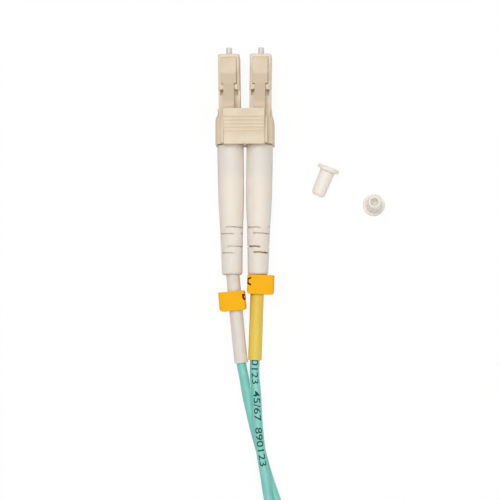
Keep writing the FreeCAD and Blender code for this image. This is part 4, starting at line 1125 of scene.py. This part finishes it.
green_ink = Finish("green_ink")
green_ink.surface([paint(8, 56, 52), paint(28, 82, 76)], green_ink.noise(5.0), (0.5, 0.1),
                  **{"Specular IOR Level": 0.2})
printed = lettering(PRINT_WORDS, PRINT_SIZE, PRINT_BOLDNESS)
stretched = PRINT_REACH / max(vertex.co.x for vertex in printed.verts)
lobe_line = []
for place, way, twist, reached in zip(cord_line, ways_along(cord_line), cord_twists, gone):
    if 0 < reached < coil_start / 2:
        level, upright = beside_and_above(way)
        across = level * math.cos(twist) + upright * math.sin(twist)
        lobe_line.append(place + across * (LOBE_OFFSET * MM))
line = stretch(legs["right"] + lobe_line, PRINT_START * MM, PRINT_END * MM)
reached = lengths_along(line)
ways = ways_along(line)
for vertex in printed.verts:
    distance = vertex.co.x * stretched * MM
    step = min(max(1, bisect.bisect(reached, distance)), len(line) - 1)
    share = (distance - reached[step - 1]) / (reached[step] - reached[step - 1])
    level, upright = beside_and_above(ways[step - 1].lerp(ways[step], share).normalized())
    turn = vertex.co.y / CABLE_RADIUS
    out = level * math.sin(turn) + upright * math.cos(turn)
    vertex.co = line[step - 1].lerp(line[step], share) + out * ((CABLE_RADIUS + PRINT_PROUD) * MM)
print_piece = kept(printed, "cable_print", green_ink.material)
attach(print_piece, "root")

# Ferrule springs: steel wire wound round the holder's tube, with close turns at both ends, from
# the holder's flange to the rear body.
SPRING_FRONT, SPRING_REAR = 10.6, 5.6
SPRING_RADIUS = 1.0
SPRING_WIRE = 0.14
WIRE_SIDES = 10
SPRING_TURNS = 5.5
SPRING_STEPS = 28
END_CLOSENESS = 0.11

wire = Finish("spring_wire")
wire.surface([paint(150, 150, 150), paint(190, 190, 190)], wire.noise(20.0), (0.28, 0.2),
             Metallic=1.0)

coil = bmesh.new()
rings = []
steps = round(SPRING_TURNS * SPRING_STEPS)
for step in range(steps + 1):
    share = step / steps
    turn = 2 * math.pi * SPRING_TURNS * share
    rise = share - math.sin(2 * math.pi * share) * END_CLOSENESS
    place = SPRING_REAR + SPRING_WIRE + (SPRING_FRONT - SPRING_REAR - 2 * SPRING_WIRE) * rise
    out = Vector((math.cos(turn), 0, math.sin(turn)))
    rings.append([
        coil.verts.new(out * (SPRING_RADIUS + SPRING_WIRE * math.cos(a))
                       + Vector((0, place + SPRING_WIRE * math.sin(a), 0)))
        for a in turns_of(WIRE_SIDES)
    ])
joined_up(coil, rings)
coil.faces.new(rings[0])
coil.faces.new(rings[-1])
bmesh.ops.recalc_face_normals(coil, faces=coil.faces)
spring = mesh_of(coil, "spring")
on_each_plug(spring, "ferrule_spring", wire.material, "spring_steel")
for (end, side_name), place in PLUGS.items():
    piece = bpy.data.objects[f"{end}{side_name}_ferrule_spring"]
    tuple(place @ Vector((0, SPRING_REAR, 0)))
    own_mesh(piece)

# Pieces inside the plugs: rear bodies that hold the crimp neck, plated ferrule holders,
# buffered fibres and crimp rings. They keep their own shapes.
plated = Finish("plated_metal")
plated.surface([paint(196, 192, 184), paint(224, 220, 212)], plated.noise((2.0, 30.0, 2.0)),
               (0.24, 0.2), relief=0.006, Metallic=1.0)
buffer = Finish("tight_buffer")
buffer.surface([paint(214, 222, 218), paint(232, 238, 234)], buffer.noise(2.0, 2.0), (0.4, 0.1))
INNER_FINISHES = {
    "rear_body": beige, "ferrule_holder": plated, "crimp_ring": plated, "buffered_fibre": buffer,
}
for end, side_name in PLUGS:
    for kind, finish in INNER_FINISHES.items():
        node = bpy.data.objects[f"{end}{kind}_{side_name}"]
        for space in node.material_slots:
            space.material = finish.material
        carried(node, end, side_name)

# Each single cable's piece and length are looked up: the near ones end at the near plugs, which
# are the object, and each far one ends in its own plug.
for key, line in legs.items():
    end = "far_" if key.startswith("far_") else ""
    leg = bpy.data.objects[f"{key}_cable"]
    lengths_along(line)[-1]
